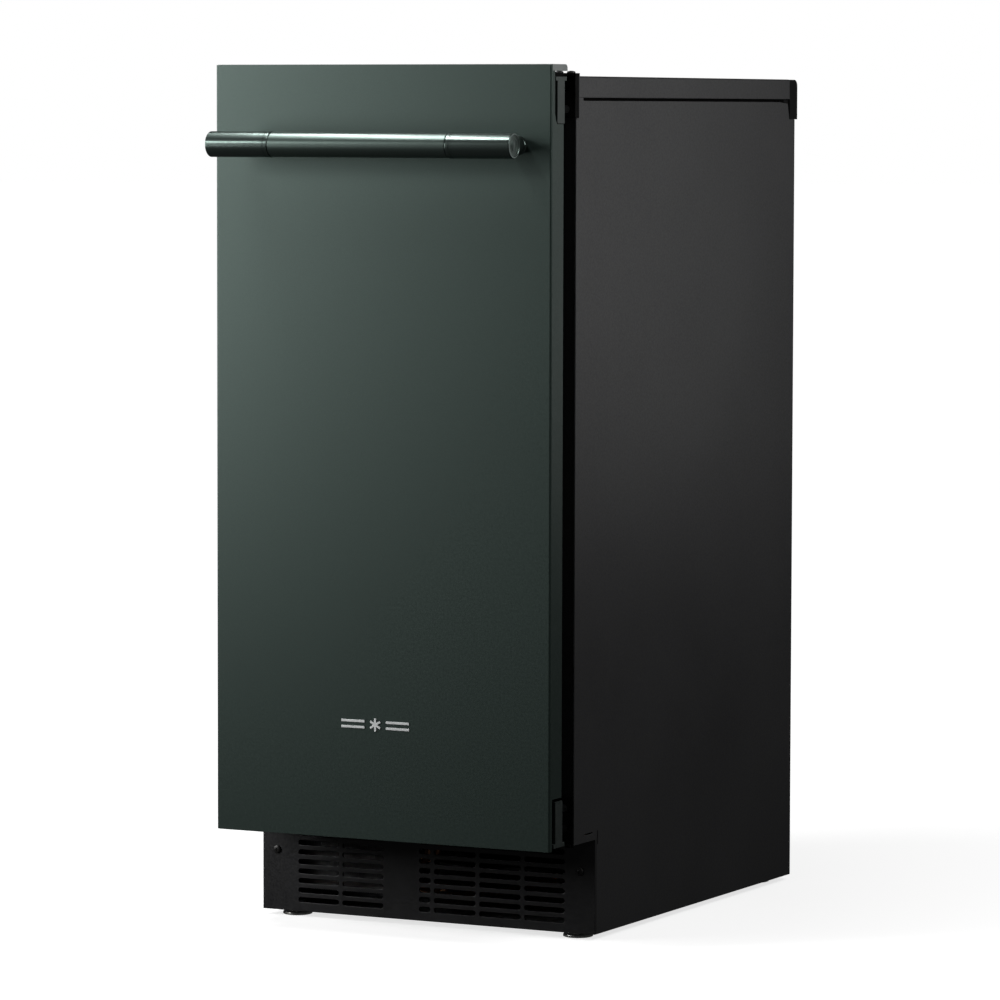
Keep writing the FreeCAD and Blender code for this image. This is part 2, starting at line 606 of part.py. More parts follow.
def make_distributor():
    """Tube with a row of jets that floods the top of the freezing plate."""
    x0, x1 = PLATE_X
    pipe = rod(x0 + 8.0, 486.0, 792.0, 9.0, x1 - x0 - 16.0, (1, 0, 0))
    core = rod(x0 + 10.0, 486.0, 792.0, 7.2, x1 - x0 - 20.0, (1, 0, 0))
    spigot = rod(x1 - 9.0, 486.0, 792.0, 4.5, 17.0, (1, 0, 0))
    spigot_bore = rod(x1 - 12.0, 486.0, 792.0, 3.0, 24.0, (1, 0, 0))
    jets = [rod(x0 + 20.0 + 12.0 * i, 486.0, 780.0, 1.4, 8.0) for i in range(16)]
    tabs = [block(x - 4.0, x + 4.0, 494.0, BIN_REAR, 790.0, 794.0) for x in (-90.0, 0.0, 60.0)]
    body = join([pipe, spigot] + tabs)
    save("water_distributor", body.cut(group([core, spigot_bore] + jets)))


def make_cutter_grid():
    depth, z = GRID_FRONT
    width, length, wall, tall = 150.0, 186.0, 9.0, 16.0
    outer = block(-width, width, depth, depth + length, z, z + tall)
    outer = rounded(outer, 5.0, upright)
    inner = block(-width + wall, width - wall, depth + wall, depth + length - wall,
                  z - 1.0, z + tall + 1.0)
    save("cutter_grid_frame", tilted(outer.cut(inner), GRID_FRONT))
    wires = []
    span = 2 * (width - wall)
    for i in range(7):
        wires.append(rod(-width + wall, depth + wall + 21.0 * (i + 1), z + 10.5, 0.8, span,
                         (1, 0, 0)))
    for i in range(12):
        x = -width + wall + span / 13 * (i + 1)
        wires.append(rod(x, depth + wall, z + 6.5, 0.8, length - 2 * wall, REAR))
    save("cutter_grid_wires", tilted(group(wires), GRID_FRONT))


PUMP_X = 120.0
PUMP_DEPTH = 396.0


def make_water_deck():
    pan = block(-154.4, 154.4, 298.0, 500.0, 638.0, 688.0)
    pan = rounded(pan, 8.0, upright)
    room = block(-151.9, 151.9, 300.5, 497.5, 640.5, 690.0)
    room = rounded(room, 6.0, upright)
    save("water_pan", pan.cut(room))
    x, d = PUMP_X, PUMP_DEPTH
    motor = rod(x, d, 702.0, 23.0, 44.0)
    top = cone(x, d, 746.0, 23.0, 17.0, 5.0)
    flange = block(x - 29.0, x + 29.0, d - 29.0, d + 29.0, 696.0, 702.0)
    flange = rounded(flange, 8.0, upright)
    hangers = [block(x - 29.0, x - 25.0, d - 8.0, d + 8.0, 688.0, 697.0),
               block(x + 25.0, 154.4, d - 8.0, d + 8.0, 688.0, 697.0),
               block(x - 29.0, x + 29.0, d - 8.0, d + 8.0, 688.0, 697.0)]
    stem = rod(x, d, 664.0, 6.0, 34.0)
    volute = rod(x, d, 645.0, 19.0, 20.0)
    room = rod(x, d, 644.0, 16.0, 18.0)
    outlet = rod(x, d + 15.0, 652.0, 5.0, 15.0, REAR)
    outlet_bore = rod(x, d + 12.0, 652.0, 3.5, 22.0, REAR)
    bore = rod(x, d, 650.0, 2.5 + PIN_CLEARANCE, 70.0)
    body = join([motor, top, flange, stem, volute, outlet] + hangers)
    save("water_pump", body.cut(group([room, outlet_bore, bore])))
    hub = rod(x, d, 647.0, 5.0, 12.0)
    disc = rod(x, d, 647.0, 14.0, 1.6)
    shaft = rod(x, d, 655.0, 2.5, 60.0)
    vanes = []
    for i in range(6):
        vane = block(x + 4.0, x + 13.5, d - 0.7, d + 0.7, 648.0, 657.0)
        vane.rotate(Vector(x, DOOR_FRONT + d, 0), Vector(0, 0, 1), 60.0 * i)
        vanes.append(vane)
    save("pump_impeller", join([hub, disc, shaft] + vanes))
    hose = tube([(x, d + 30.0, 652), (x, 462, 652), (x, 462, 792), (x, 486, 792),
                 (PLATE_X[1] + 8.0, 486, 792)], 6.0, 11.5)
    save("pump_hose", hose)


# ------------------------------------------------------------------- controls
BUTTONS = {"power_button": -96.0, "clean_button": -56.0}
BUTTON_Z = 795.0


def make_controls():
    shell = block(-150.0, 150.0, 57.0, 150.0, 776.0, 815.0)
    shell = rounded(shell, 4.0, lambda e: all(
        abs(v.Z - 776.0) < 1e-6 and abs(v.Y - DOOR_FRONT - 57.0) < 1e-6 for v in e.Vertexes))
    hollow = block(-147.0, 147.0, 60.0, 147.0, 779.0, 816.0)
    window = block(-20.0, 52.0, 55.0, 62.0, BUTTON_Z - 9.0, BUTTON_Z + 9.0)
    holes = [rod(x, 55.0, BUTTON_Z, 8.3, 8.0, REAR) for x in BUTTONS.values()]
    save("control_housing", shell.cut(group([hollow, window] + holes)))
    for name, x in BUTTONS.items():
        cap = rod(x, 54.6, BUTTON_Z, 7.9, 6.0, REAR)
        cap = cap.makeFillet(1.0, [e for e in cap.Edges
                                   if abs(e.CenterOfMass.y - DOOR_FRONT - 54.6) < 1e-3])
        flange = rod(x, 60.1, BUTTON_Z, 9.6, 2.2, REAR)
        stem = rod(x, 62.0, BUTTON_Z, 3.0, 6.5, REAR)
        save(name, join([cap, flange, stem]))
    save("display_lens", block(-19.95, 51.95, 56.4, 59.9, BUTTON_Z - 8.95, BUTTON_Z + 8.95))
    board = block(-125.0, 125.0, 75.0, 76.6, 781.0, 809.0)
    switches = [block(x - 3.5, x + 3.5, 70.2, 75.0, BUTTON_Z - 3.5, BUTTON_Z + 3.5)
                for x in BUTTONS.values()]
    relay = block(-40.0, -16.0, 76.6, 92.0, 784.0, 804.0)
    posts = [block(x, x + 6.0, 76.6, 147.0, 800.0, 806.0) for x in (-118.0, 112.0)]
    save("control_board", join([board, relay] + switches + posts))


# --------------------------------------------------------------- ice scoop
SCOOP_DEPTH = 150.0


def make_scoop():
    d = SCOOP_DEPTH
    base = block(152.4, BIN_HALF, d - 22.0, d + 22.0, 584.0, 620.0)
    shelf = block(145.0, 153.0, d - 16.0, d + 16.0, 590.0, 594.0)
    lip = block(145.0, 147.4, d - 16.0, d + 16.0, 590.0, 606.0)
    save("scoop_holder", join([base, shelf, lip]))
    bowl = block(96.0, 148.0, d - 42.0, d + 42.0, 400.0, 512.0)
    bowl = rounded(bowl, 16.0, lambda e: e.Vertexes[0].X > 140.0 and e.Vertexes[1].X > 140.0)
    scooped = block(90.0, 145.6, d - 39.6, d + 39.6, 396.0, 509.6)
    scooped = rounded(scooped, 13.5, lambda e: e.Vertexes[0].X > 140.0
                      and e.Vertexes[1].X > 140.0 and e.BoundBox.ZMin > 396.5)
    slant = block(60.0, 96.0, d - 60.0, d + 60.0, 360.0, 560.0)
    slant.rotate(Vector(96.0, DOOR_FRONT + d, 512.0), Vector(0, 1, 0), -12.0)
    grip = block(136.0, 143.6, d - 13.0, d + 13.0, 506.0, 612.0)
    grip = rounded(grip, 2.5, upright)
    over = block(136.0, 151.4, d - 13.0, d + 13.0, 608.0, 612.0)
    tongue = block(148.4, 151.4, d - 13.0, d + 13.0, 594.4, 612.0)
    body = join([bowl.cut(scooped).cut(slant), grip, over, tongue])
    save("ice_scoop", body)


# ---------------------------------------------------------------------- door
STRIP_TOP = 853.4
STRIP_LOW = 102.6


def make_door_skin():
    """Painted steel sheet folded round the door's two long edges."""
    outer = block(-DOOR_HALF, DOOR_HALF, 0.0, DOOR_RETURN, DOOR_BOTTOM, DOOR_TOP)
    outer = rounded(outer, 2.0, lambda e: upright(e)
                    and abs(e.Vertexes[0].Y - DOOR_FRONT) < 1e-6)
    inner = block(-DOOR_HALF + SKIN, DOOR_HALF - SKIN, SKIN, DOOR_RETURN - SKIN,
                  DOOR_BOTTOM - 1, DOOR_TOP + 1)
    inner = rounded(inner, 0.8, lambda e: upright(e)
                    and abs(e.Vertexes[0].Y - DOOR_FRONT - SKIN) < 1e-6)
    back = block(-172.0, 172.0, 20.0, DOOR_RETURN + 1, DOOR_BOTTOM - 1, DOOR_TOP + 1)
    notch_top = outline([(7.3, 870.0), (7.3, 818.0), (9.8, 810.6), (12.0, 807.5),
                         (27.0, 807.5), (27.0, 870.0)], 20.0, 170.0)
    tab_room = block(185.0, 188.0, 2.0, 27.0, 858.7, 866.0)
    notch_low = block(170.0, 190.0, 5.3, 27.0, 99.0, 151.2)
    skin = outer.cut(group([inner, back])).cut(group([notch_top, tab_room, notch_low]))
    save("door_skin", skin)


def make_door_caps():
    """Moulded end caps that close the skin and carry the hinge pockets."""
    inside = DOOR_HALF - SKIN - 0.35
    top = block(-inside, inside, SKIN + 0.3, 34.4, 845.0, DOOR_TOP + 0.4)
    under = block(-inside + 3.0, 158.0, 4.0, 31.6, 844.0, DOOR_TOP - 2.0)
    pocket = block(161.0, 190.0, 6.8, 36.0, 844.0, 858.9)
    tab = block(inside, DOOR_HALF, 2.0, 34.4, 858.9, DOOR_TOP + 0.4)
    behind_skin = [block(-DOOR_HALF, -171.5, 24.6, 26.2, 840.0, DOOR_TOP + 0.1),
                   block(171.5, 180.0, 24.6, 26.2, 840.0, 850.0)]
    crown = join([top, tab])
    crown = rounded(crown, 4.0, lambda e: e.BoundBox.XLength > 100.0
                    and abs(e.CenterOfMass.y - DOOR_FRONT - 34.4) < 1e-3
                    and e.CenterOfMass.z > 860.0)
    save("door_cap_top", crown.cut(group([under, pocket] + behind_skin)))
    low = block(-inside, inside, SKIN + 0.3, 34.4, 99.6, 120.0)
    over = block(-inside + 3.0, 158.0, 4.0, 31.6, 102.0, 121.0)
    pocket = block(161.0, 190.0, 5.0, 36.0, 98.0, 121.0)
    behind_skin = block(-DOOR_HALF, -171.5, 24.6, 26.2, 99.9, 122.0)
    save("door_cap_bottom", low.cut(group([over, pocket, behind_skin])))


def hinge_strip(z_edge, way):
    """Steel strip with the pin bearing; way is -1 for the top, 1 for the bottom."""
    def span(a, b):
        low, high = sorted((z_edge + way * a, z_edge + way * b))
        return low, high
    strip = block(184.0, 186.6, 12.9, 28.4, *span(0.0, 45.4))
    ledge = block(163.0, 186.6, 9.5, 33.0, *span(0.0, 4.0))
    z0, z1 = span(0.0, 17.0)
    bearing = rod(HINGE_X, HINGE_DEPTH, z0, 7.2, z1 - z0)
    bore = rod(HINGE_X, HINGE_DEPTH, z0 - 1.0, PIN_RADIUS + PIN_CLEARANCE, z1 - z0 + 2.0)
    return join([strip, ledge, bearing]).cut(bore)


def make_hinge_strips():
    save("door_hinge_strips", group([hinge_strip(STRIP_TOP, -1), hinge_strip(STRIP_LOW, 1)]))


def make_door_inside():
    low, high = 121.0, 844.0
    plate = block(-168.5, 168.5, 31.8, 34.2, low, high)
    walls = block(-168.5, 168.5, 26.1, 34.2, low, high)
    well = block(-166.2, 166.2, 25.0, 31.8, low + 2.3, high - 2.3)
    bump = block(-146.0, 146.0, 31.8, 46.0, 262.0, 792.0)
    bump = rounded(bump, 9.0, lambda e: not upright(e) and abs(
        e.CenterOfMass.y - DOOR_FRONT - 46.0) < 1e-3 or upright(e) and abs(
        e.Vertexes[0].Y - DOOR_FRONT - 46.0) < 1e-6)
    room = block(-143.6, 143.6, 25.0, 43.6, 264.4, 789.6)
    room = rounded(room, 6.8, lambda e: not upright(e) and abs(
        e.CenterOfMass.y - DOOR_FRONT - 43.6) < 1e-3 or upright(e) and abs(
        e.Vertexes[0].Y - DOOR_FRONT - 43.6) < 1e-6)
    save("door_liner", join([plate, walls.cut(well), bump]).cut(room))
    foam = block(-185.2, 185.2, 1.5, 24.7, 120.2, 844.8)
    waist = block(-165.8, 165.8, 24.7, 31.6, low + 2.5, high - 2.5)
    plug = block(-136.0, 136.0, 31.6, 42.5, 272.0, 782.0)
    room = [block(160.0, 190.0, 5.5, 32.0, 803.0, 846.0),
            block(160.0, 190.0, 4.8, 32.0, 119.0, 153.0)]
    save("door_insulation", join([foam, waist, plug]).cut(group(room)))
    rim = block(-168.0, 168.0, 34.3, 39.5, 121.5, 843.5)
    soft = block(-166.0, 166.0, 39.5, 48.6, 123.5, 841.5)
    soft = rounded(soft, 3.0, lambda e: abs(e.CenterOfMass.y - DOOR_FRONT - 48.6) < 1e-3)
    middle = block(-149.0, 149.0, 30.0, 50.0, 142.0, 823.0)
    save("door_gasket", join([rim, soft]).cut(middle))


# -------------------------------------------------------------------- handle
HANDLE_RADIUS = 12.7
HANDLE_DEPTH = -HANDLE_REACH + HANDLE_RADIUS
HANDLE_Z = 786.8
HANDLE_HALF = 168.0
SLEEVE = 70.0
POST_X = 150.0
POST_RADIUS = 9.5


def make_handle():
    bar_half = HANDLE_HALF - SLEEVE
    bar = rod(-bar_half, HANDLE_DEPTH, HANDLE_Z, HANDLE_RADIUS - 0.35, 2 * bar_half, (1, 0, 0))
    tenons = [rod(s * bar_half, HANDLE_DEPTH, HANDLE_Z, 8.0, 12.0, (s, 0, 0)) for s in (-1, 1)]
    save("handle_bar", join([bar] + tenons))
    sleeves = []
    medallions = []
    posts = []
    for s in (-1, 1):
        sleeve = rod(s * (bar_half + 0.4), HANDLE_DEPTH, HANDLE_Z, HANDLE_RADIUS,
                     SLEEVE - 0.4, (s, 0, 0))
        sleeve = sleeve.makeFillet(0.9, [e for e in sleeve.Edges if len(e.Vertexes) == 1])
        socket = rod(s * bar_half, HANDLE_DEPTH, HANDLE_Z, 8.0, 12.0, (s, 0, 0))
        recess = rod(s * (HANDLE_HALF - 1.2), HANDLE_DEPTH, HANDLE_Z, 10.2, 3.0, (s, 0, 0))
        post_end = rod(s * POST_X, HANDLE_DEPTH, HANDLE_Z, POST_RADIUS - 2.0, 14.0, REAR)
        sleeves.append(sleeve.cut(group([socket, recess, post_end])))
        disc = rod(s * (HANDLE_HALF - 1.2), HANDLE_DEPTH, HANDLE_Z, 10.2, 0.9, (s, 0, 0))
        boss = rod(s * (HANDLE_HALF - 0.3), HANDLE_DEPTH, HANDLE_Z, 3.2, 0.5, (s, 0, 0))
        medallions.append(join([disc, boss]))
        post = rod(s * POST_X, HANDLE_DEPTH + HANDLE_RADIUS + 2.2, HANDLE_Z, POST_RADIUS,
                   -HANDLE_DEPTH - HANDLE_RADIUS - 2.2, REAR)
        foot = rod(s * POST_X, -3.0, HANDLE_Z, POST_RADIUS + 1.8, 3.0, REAR)
        neck = rod(s * POST_X, HANDLE_DEPTH, HANDLE_Z, POST_RADIUS - 2.0,
                   HANDLE_RADIUS + 3.0, REAR)
        posts.append(join([post, foot, neck]))
    save("handle_sleeves", group(sleeves))
    save("handle_medallions", group(medallions))
    save("handle_standoffs", group(posts))


EMBLEM_HEIGHT = 214.6      # middle of the emblem above the floor
EMBLEM_X = -6.0
EMBLEM_GAUGE = 0.8


def make_badge():
    """Small plain emblem: a six-armed frost star between two bars."""
    front = DOOR_FRONT - EMBLEM_GAUGE
    middle = Vector(EMBLEM_X, front, EMBLEM_HEIGHT)
    arms = []
    for i in range(3):
        corner = Vector(EMBLEM_X - 6.5, front, EMBLEM_HEIGHT - 1.1)
        arm = Part.makeBox(13.0, EMBLEM_GAUGE, 2.2, corner)
        arm.rotate(middle, Vector(0, 1, 0), 60.0 * i + 30.0)
        arms.append(arm)
    bars = []
    for x0 in (EMBLEM_X - 38.0, EMBLEM_X + 12.0):
        for z in (EMBLEM_HEIGHT - 3.0, EMBLEM_HEIGHT + 3.0):
            bars.append(block(x0, x0 + 26.0, -EMBLEM_GAUGE, 0.0, z - 1.2, z + 1.2))
    save("door_emblem", group([join(arms)] + bars))


make_screws()
make_side_panels()
make_base_pan()
make_legs()
make_top_cover()
make_rear_guard()
make_back_panel()
make_rear_access_panel()
make_front_frame()
make_toe_grille()
make_hinge_brackets()
make_insulation()
make_liner()
make_bin_sensor()
make_drain()
make_condenser()
make_fan()
make_compressor()
make_refrigerant_parts()
make_water_valve()
make_evaporator()
make_distributor()
make_cutter_grid()
make_water_deck()
make_controls()
make_scoop()
make_door_skin()
make_door_caps()
make_hinge_strips()
make_door_inside()
make_handle()
make_badge()
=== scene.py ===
import math

import bmesh
import bpy
from mathutils import Matrix, Vector


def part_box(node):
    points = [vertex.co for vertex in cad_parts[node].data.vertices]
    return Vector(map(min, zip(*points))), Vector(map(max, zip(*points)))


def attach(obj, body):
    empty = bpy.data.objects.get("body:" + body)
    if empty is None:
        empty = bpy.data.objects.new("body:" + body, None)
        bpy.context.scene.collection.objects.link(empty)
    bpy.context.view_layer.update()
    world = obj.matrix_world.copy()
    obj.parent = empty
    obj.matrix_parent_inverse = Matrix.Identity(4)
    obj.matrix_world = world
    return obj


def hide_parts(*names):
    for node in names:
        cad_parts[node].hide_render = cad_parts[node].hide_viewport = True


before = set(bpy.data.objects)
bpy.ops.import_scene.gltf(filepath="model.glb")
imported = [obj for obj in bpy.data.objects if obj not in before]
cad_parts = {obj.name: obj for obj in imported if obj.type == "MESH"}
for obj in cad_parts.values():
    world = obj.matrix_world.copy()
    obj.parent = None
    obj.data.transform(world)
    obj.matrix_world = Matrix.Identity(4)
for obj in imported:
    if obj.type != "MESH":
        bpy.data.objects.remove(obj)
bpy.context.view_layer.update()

# ------------------------------------------------------------------ base pan
# The cabinet's floor: a pressed tray of galvanised sheet with a weld nut over
# each foot.  It hangs between the side panels and carries the machinery.
MM = 0.001


def merged(node):
    """A copy of a designed piece with its triangles joined into plain faces."""
    work = bmesh.new()
    work.from_mesh(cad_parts[node].data)
    bmesh.ops.remove_doubles(work, verts=work.verts, dist=0.002 * MM)
    bmesh.ops.dissolve_degenerate(work, edges=work.edges, dist=0.001 * MM)
    bmesh.ops.dissolve_limit(
        work, angle_limit=math.radians(0.5), verts=work.verts, edges=work.edges)
    return work


def plain_object(name, work):
    """Turn working geometry into an object with nothing but points and faces."""
    work.verts.index_update()
    mesh = bpy.data.meshes.new(name)
    points = [vert.co[:] for vert in work.verts]
    mesh.from_pydata(points, [], [[v.index for v in face.verts] for face in work.faces])
    work.free()
    piece = bpy.data.objects.new(name, mesh)
    bpy.context.scene.collection.objects.link(piece)
    return piece


def settled(piece):
    """Put the mesh that the live modifiers make in place of the first mesh."""
    graph = bpy.context.evaluated_depsgraph_get()
    made = bpy.data.meshes.new_from_object(
        piece.evaluated_get(graph), preserve_all_data_layers=True, depsgraph=graph)
    first = piece.data
    piece.modifiers.clear()
    piece.data = made
    bpy.data.meshes.remove(first)
    return piece


def eased(piece, width, steps=2, crease=32.0):
    """Take the sharpness off the edges, as pressing, moulding or tumbling does."""
    if width:
        edge = piece.modifiers.new("edge", "BEVEL")
        edge.width = width
        edge.segments = steps
        edge.limit_method = "ANGLE"
        edge.angle_limit = math.radians(crease)
        edge.use_clamp_overlap = False
        edge.miter_outer = "MITER_ARC"
        settled(piece)
    piece.data.polygons.foreach_set("use_smooth", [True] * len(piece.data.polygons))
    piece.data.set_sharp_from_angle(angle=math.radians(crease))
    weight = piece.modifiers.new("weight", "WEIGHTED_NORMAL")
    weight.keep_sharp = True
    return settled(piece)


def dressed(piece, material, body="cabinet", nodes=()):
    """Give a piece its finish and hang it on the body that it belongs to."""
    piece.data.materials.clear()
    piece.data.materials.append(material)
    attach(piece, body)
    if nodes:
        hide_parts(*nodes)
    return piece


def from_design(node, name, material, body="cabinet", ease=0.3, crease=32.0):
    """A designed piece with eased edges and its finish, in place of the plain one."""
    piece = eased(plain_object(name, merged(node)), ease * MM, crease=crease)
    return dressed(piece, material, body, [node])


def finish(name, colour, metallic=0.0, roughness=0.5, **even):
    """A new finish: one shader, with every value that is even set on its socket."""
    material = bpy.data.materials.new(name)
    material.use_nodes = True
    shader = material.node_tree.nodes["Principled BSDF"]
    shader.inputs["Base Color"].default_value = (*colour, 1.0)
    shader.inputs["Metallic"].default_value = metallic
    shader.inputs["Roughness"].default_value = roughness
    for socket, value in even.items():
        shader.inputs[socket.replace("_", " ")].default_value = value
    return material


def shader_node(material, kind, **values):
    made = material.node_tree.nodes.new("ShaderNode" + kind)
    for socket, value in values.items():
        made.inputs[socket.replace("_", " ")].default_value = value
    return made


def wired(material, start, end):
    material.node_tree.links.new(start, end)


def pattern(material, kind, stretch=(1.0, 1.0, 1.0), **values):
    """A noise or cell pattern fixed to the piece and stretched along its axes."""
    spot = shader_node(material, "TexCoord")
    place = shader_node(material, "Mapping", Scale=stretch)
    made = shader_node(material, kind, **values)
    wired(material, spot.outputs["Object"], place.inputs["Vector"])
    wired(material, place.outputs["Vector"], made.inputs["Vector"])
    return made.outputs[0]


def graded(material, value, low, high, start=0.3, end=0.7):
    """Spread a pattern between two values."""
    grade = shader_node(material, "MapRange", From_Min=start, From_Max=end,
                        To_Min=low, To_Max=high)
    wired(material, value, grade.inputs["Value"])
    return grade.outputs["Result"]


def tinted(material, value, low, high, start=0.3, end=0.7):
    """Colour that wanders between two shades with a pattern."""
    ramp = shader_node(material, "ValToRGB")
    first, last = ramp.color_ramp.elements
    first.position, last.position = start, end
    first.color, last.color = (*low, 1.0), (*high, 1.0)
    shader = material.node_tree.nodes["Principled BSDF"]
    wired(material, value, ramp.inputs["Fac"])
    wired(material, ramp.outputs["Color"], shader.inputs["Base Color"])


def roughened(material, value, low, high, start=0.3, end=0.7):
    shader = material.node_tree.nodes["Principled BSDF"]
    wired(material, graded(material, value, low, high, start, end),
          shader.inputs["Roughness"])


def embossed(material, value, height):
    """One more layer of relief, of a height in metres, over those already there."""
    shader = material.node_tree.nodes["Principled BSDF"]
    bump = shader_node(material, "Bump", Distance=height)
    wired(material, value, bump.inputs["Height"])
    if shader.inputs["Normal"].links:
        wired(material, shader.inputs["Normal"].links[0].from_socket,
              bump.inputs["Normal"])
    wired(material, bump.outputs["Normal"], shader.inputs["Normal"])


galvanised = finish("galvanised sheet", (0.50, 0.52, 0.54), metallic=1.0)
spangle = pattern(galvanised, "TexVoronoi", Scale=95.0, Randomness=1.0)
bloom = pattern(galvanised, "TexNoise", Scale=38.0, Detail=5.0)
tinted(galvanised, spangle, (0.46, 0.48, 0.50), (0.56, 0.58, 0.60), 0.05, 0.75)
roughened(galvanised, bloom, 0.38, 0.46)
embossed(galvanised, pattern(galvanised, "TexNoise", Scale=900.0), 0.01 * MM)

from_design("base_pan", "base_pan_tray", galvanised)


# -------------------------------------------------------------- levelling feet
# Four zinc-plated steel feet: a round pad, a hexagon for the spanner and a
# coarse stud that runs in the weld nut of the base pan.  Turned from bar.
def arc(along, radius, size, start, end, steps=6):
    """Points (along, radius) on a round corner between two angles in degrees."""
    turns = [math.radians(start + (end - start) * i / steps) for i in range(steps + 1)]
    return [(along + size * math.cos(a), radius + size * math.sin(a)) for a in turns]


def turned(name, profile, start, axis=(0, 0, 1), steps=48, ring=False):
    """A turned piece: (along, radius) points spun about an axis through start."""
    work = bmesh.new()
    turn = Vector(axis).to_track_quat("Z", "Y").to_matrix().to_4x4()
    place = Matrix.Translation(start) @ turn
    rings = []
    for along, radius in profile:
        count = steps if radius > 0.0 else 1
        angles = [math.tau * i / count for i in range(count)]
        rings.append([work.verts.new(place @ Vector(
            (radius * math.cos(a), radius * math.sin(a), along))) for a in angles])
    pairs = list(zip(rings, rings[1:]))
    if ring:
        pairs.append((rings[-1], rings[0]))
    for lower, upper in pairs:
        for i in range(steps):
            j = (i + 1) % steps
            corners = [lower[i % len(lower)], lower[j % len(lower)],
                       upper[j % len(upper)], upper[i % len(upper)]]
            work.faces.new(list(dict.fromkeys(corners)))
    bmesh.ops.recalc_face_normals(work, faces=work.faces)
    return plain_object(name, work)


def joined(name, pieces):
    """One object from several, for parts that are a single piece in the hand."""
    work = bmesh.new()
    for piece in pieces:
        work.from_mesh(piece.data)
    whole = plain_object(name, work)
    for piece in pieces:
        mesh = piece.data
        bpy.data.objects.remove(piece)
        bpy.data.meshes.remove(mesh)
    return whole


zinc = finish("bright zinc plate", (0.62, 0.62, 0.60), metallic=1.0)
handled = pattern(zinc, "TexNoise", Scale=160.0, Detail=4.0)
tinted(zinc, handled, (0.50, 0.51, 0.50), (0.68, 0.67, 0.62))
roughened(zinc, handled, 0.22, 0.42)
embossed(zinc, pattern(zinc, "TexNoise", Scale=2400.0), 0.004 * MM)

PAD_RADIUS = 15.0 * MM
PAD_HEIGHT = 3.0 * MM
HEX_RADIUS = 10.4 * MM
STUD_RADIUS = 4.7 * MM
THREAD_PITCH = 1.5 * MM

for corner in ("front_left", "front_right", "rear_left", "rear_right"):
    leg_node = "levelling_leg_" + corner
    low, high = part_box(leg_node)
    foot = Vector(((low.x + high.x) / 2, (low.y + high.y) / 2, low.z))
    height = high.z - low.z
    pad = [(0.0, 0.0), (0.0, PAD_RADIUS - 1.2 * MM), (0.5 * MM, PAD_RADIUS)]
    pad += arc(PAD_HEIGHT - 1.0 * MM, PAD_RADIUS - 1.0 * MM, 1.0 * MM, 90.0, 0.0)
    pad += [(PAD_HEIGHT, 0.0)]
    plate = turned("pad", pad, foot)
    hexagon = turned("hexagon", [
        (2.9 * MM, 0.0), (2.9 * MM, HEX_RADIUS - 0.6 * MM), (3.3 * MM, HEX_RADIUS),
        (5.4 * MM, HEX_RADIUS), (5.9 * MM, HEX_RADIUS - 0.9 * MM), (5.9 * MM, 0.0),
    ], foot, steps=6)
    thread = [(5.8 * MM, 0.0), (5.8 * MM, STUD_RADIUS - 0.8 * MM)]
    for turn in range(int((height - 7.5 * MM) / THREAD_PITCH)):
        at = 6.3 * MM + THREAD_PITCH * turn
        thread += [(at, STUD_RADIUS - 0.8 * MM), (at + 0.6 * MM, STUD_RADIUS),
                   (at + 0.8 * MM, STUD_RADIUS)]
    thread += [(height - 0.6 * MM, STUD_RADIUS - 0.8 * MM), (height, STUD_RADIUS - 1.4 * MM),
               (height, 0.0)]
    stud = turned("stud", thread, foot, steps=24)
    leg = eased(joined("foot_" + corner, [plate, hexagon, stud]), 0.0)
    dressed(leg, zinc, "leg_" + corner, [leg_node])

# ------------------------------------------------------- side panels and cover
# The cabinet's outer shell: two folded steel sides and a top cover that hooks
# over them, powder coated satin black with the faint orange peel of the spray.
# Near-black strips laid in the groove between them are painted shade, not a part: they darken the
# groove where shade falls.
cabinet_paint = finish("satin black coat", (0.020, 0.020, 0.021), roughness=0.42,
                       Specular_IOR_Level=0.55)
peel = pattern(cabinet_paint, "TexNoise", Scale=520.0, Detail=3.0)
drift = pattern(cabinet_paint, "TexNoise", Scale=5.0, Detail=3.0)
tinted(cabinet_paint, drift, (0.017, 0.017, 0.018), (0.024, 0.024, 0.025))
roughened(cabinet_paint, peel, 0.36, 0.50)
embossed(cabinet_paint, peel, 0.05 * MM)
embossed(cabinet_paint, pattern(cabinet_paint, "TexNoise", Scale=2200.0), 0.012 * MM)

from_design("side_panel_right", "right_side", cabinet_paint, ease=0.45)
from_design("side_panel_left", "left_side", cabinet_paint, ease=0.45)
from_design("top_cover", "cover", cabinet_paint, ease=0.5)

# Painted shade: a near-black matt sheet that darkens the groove between the sides and the cover.
groove_shade_sheet = finish("painted groove shade", (0.002, 0.002, 0.002), roughness=0.9,
                   Specular_IOR_Level=0.02)
tinted(groove_shade_sheet, pattern(groove_shade_sheet, "TexNoise", Scale=1800.0, Detail=2.0),
       (0.001, 0.001, 0.001), (0.003, 0.003, 0.003))

door_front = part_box("door_skin")[0].y


def at(x, depth, z):
    """A point from x, depth behind the door's face and height, in millimetres."""
    return Vector((x * MM, door_front + depth * MM, z * MM))


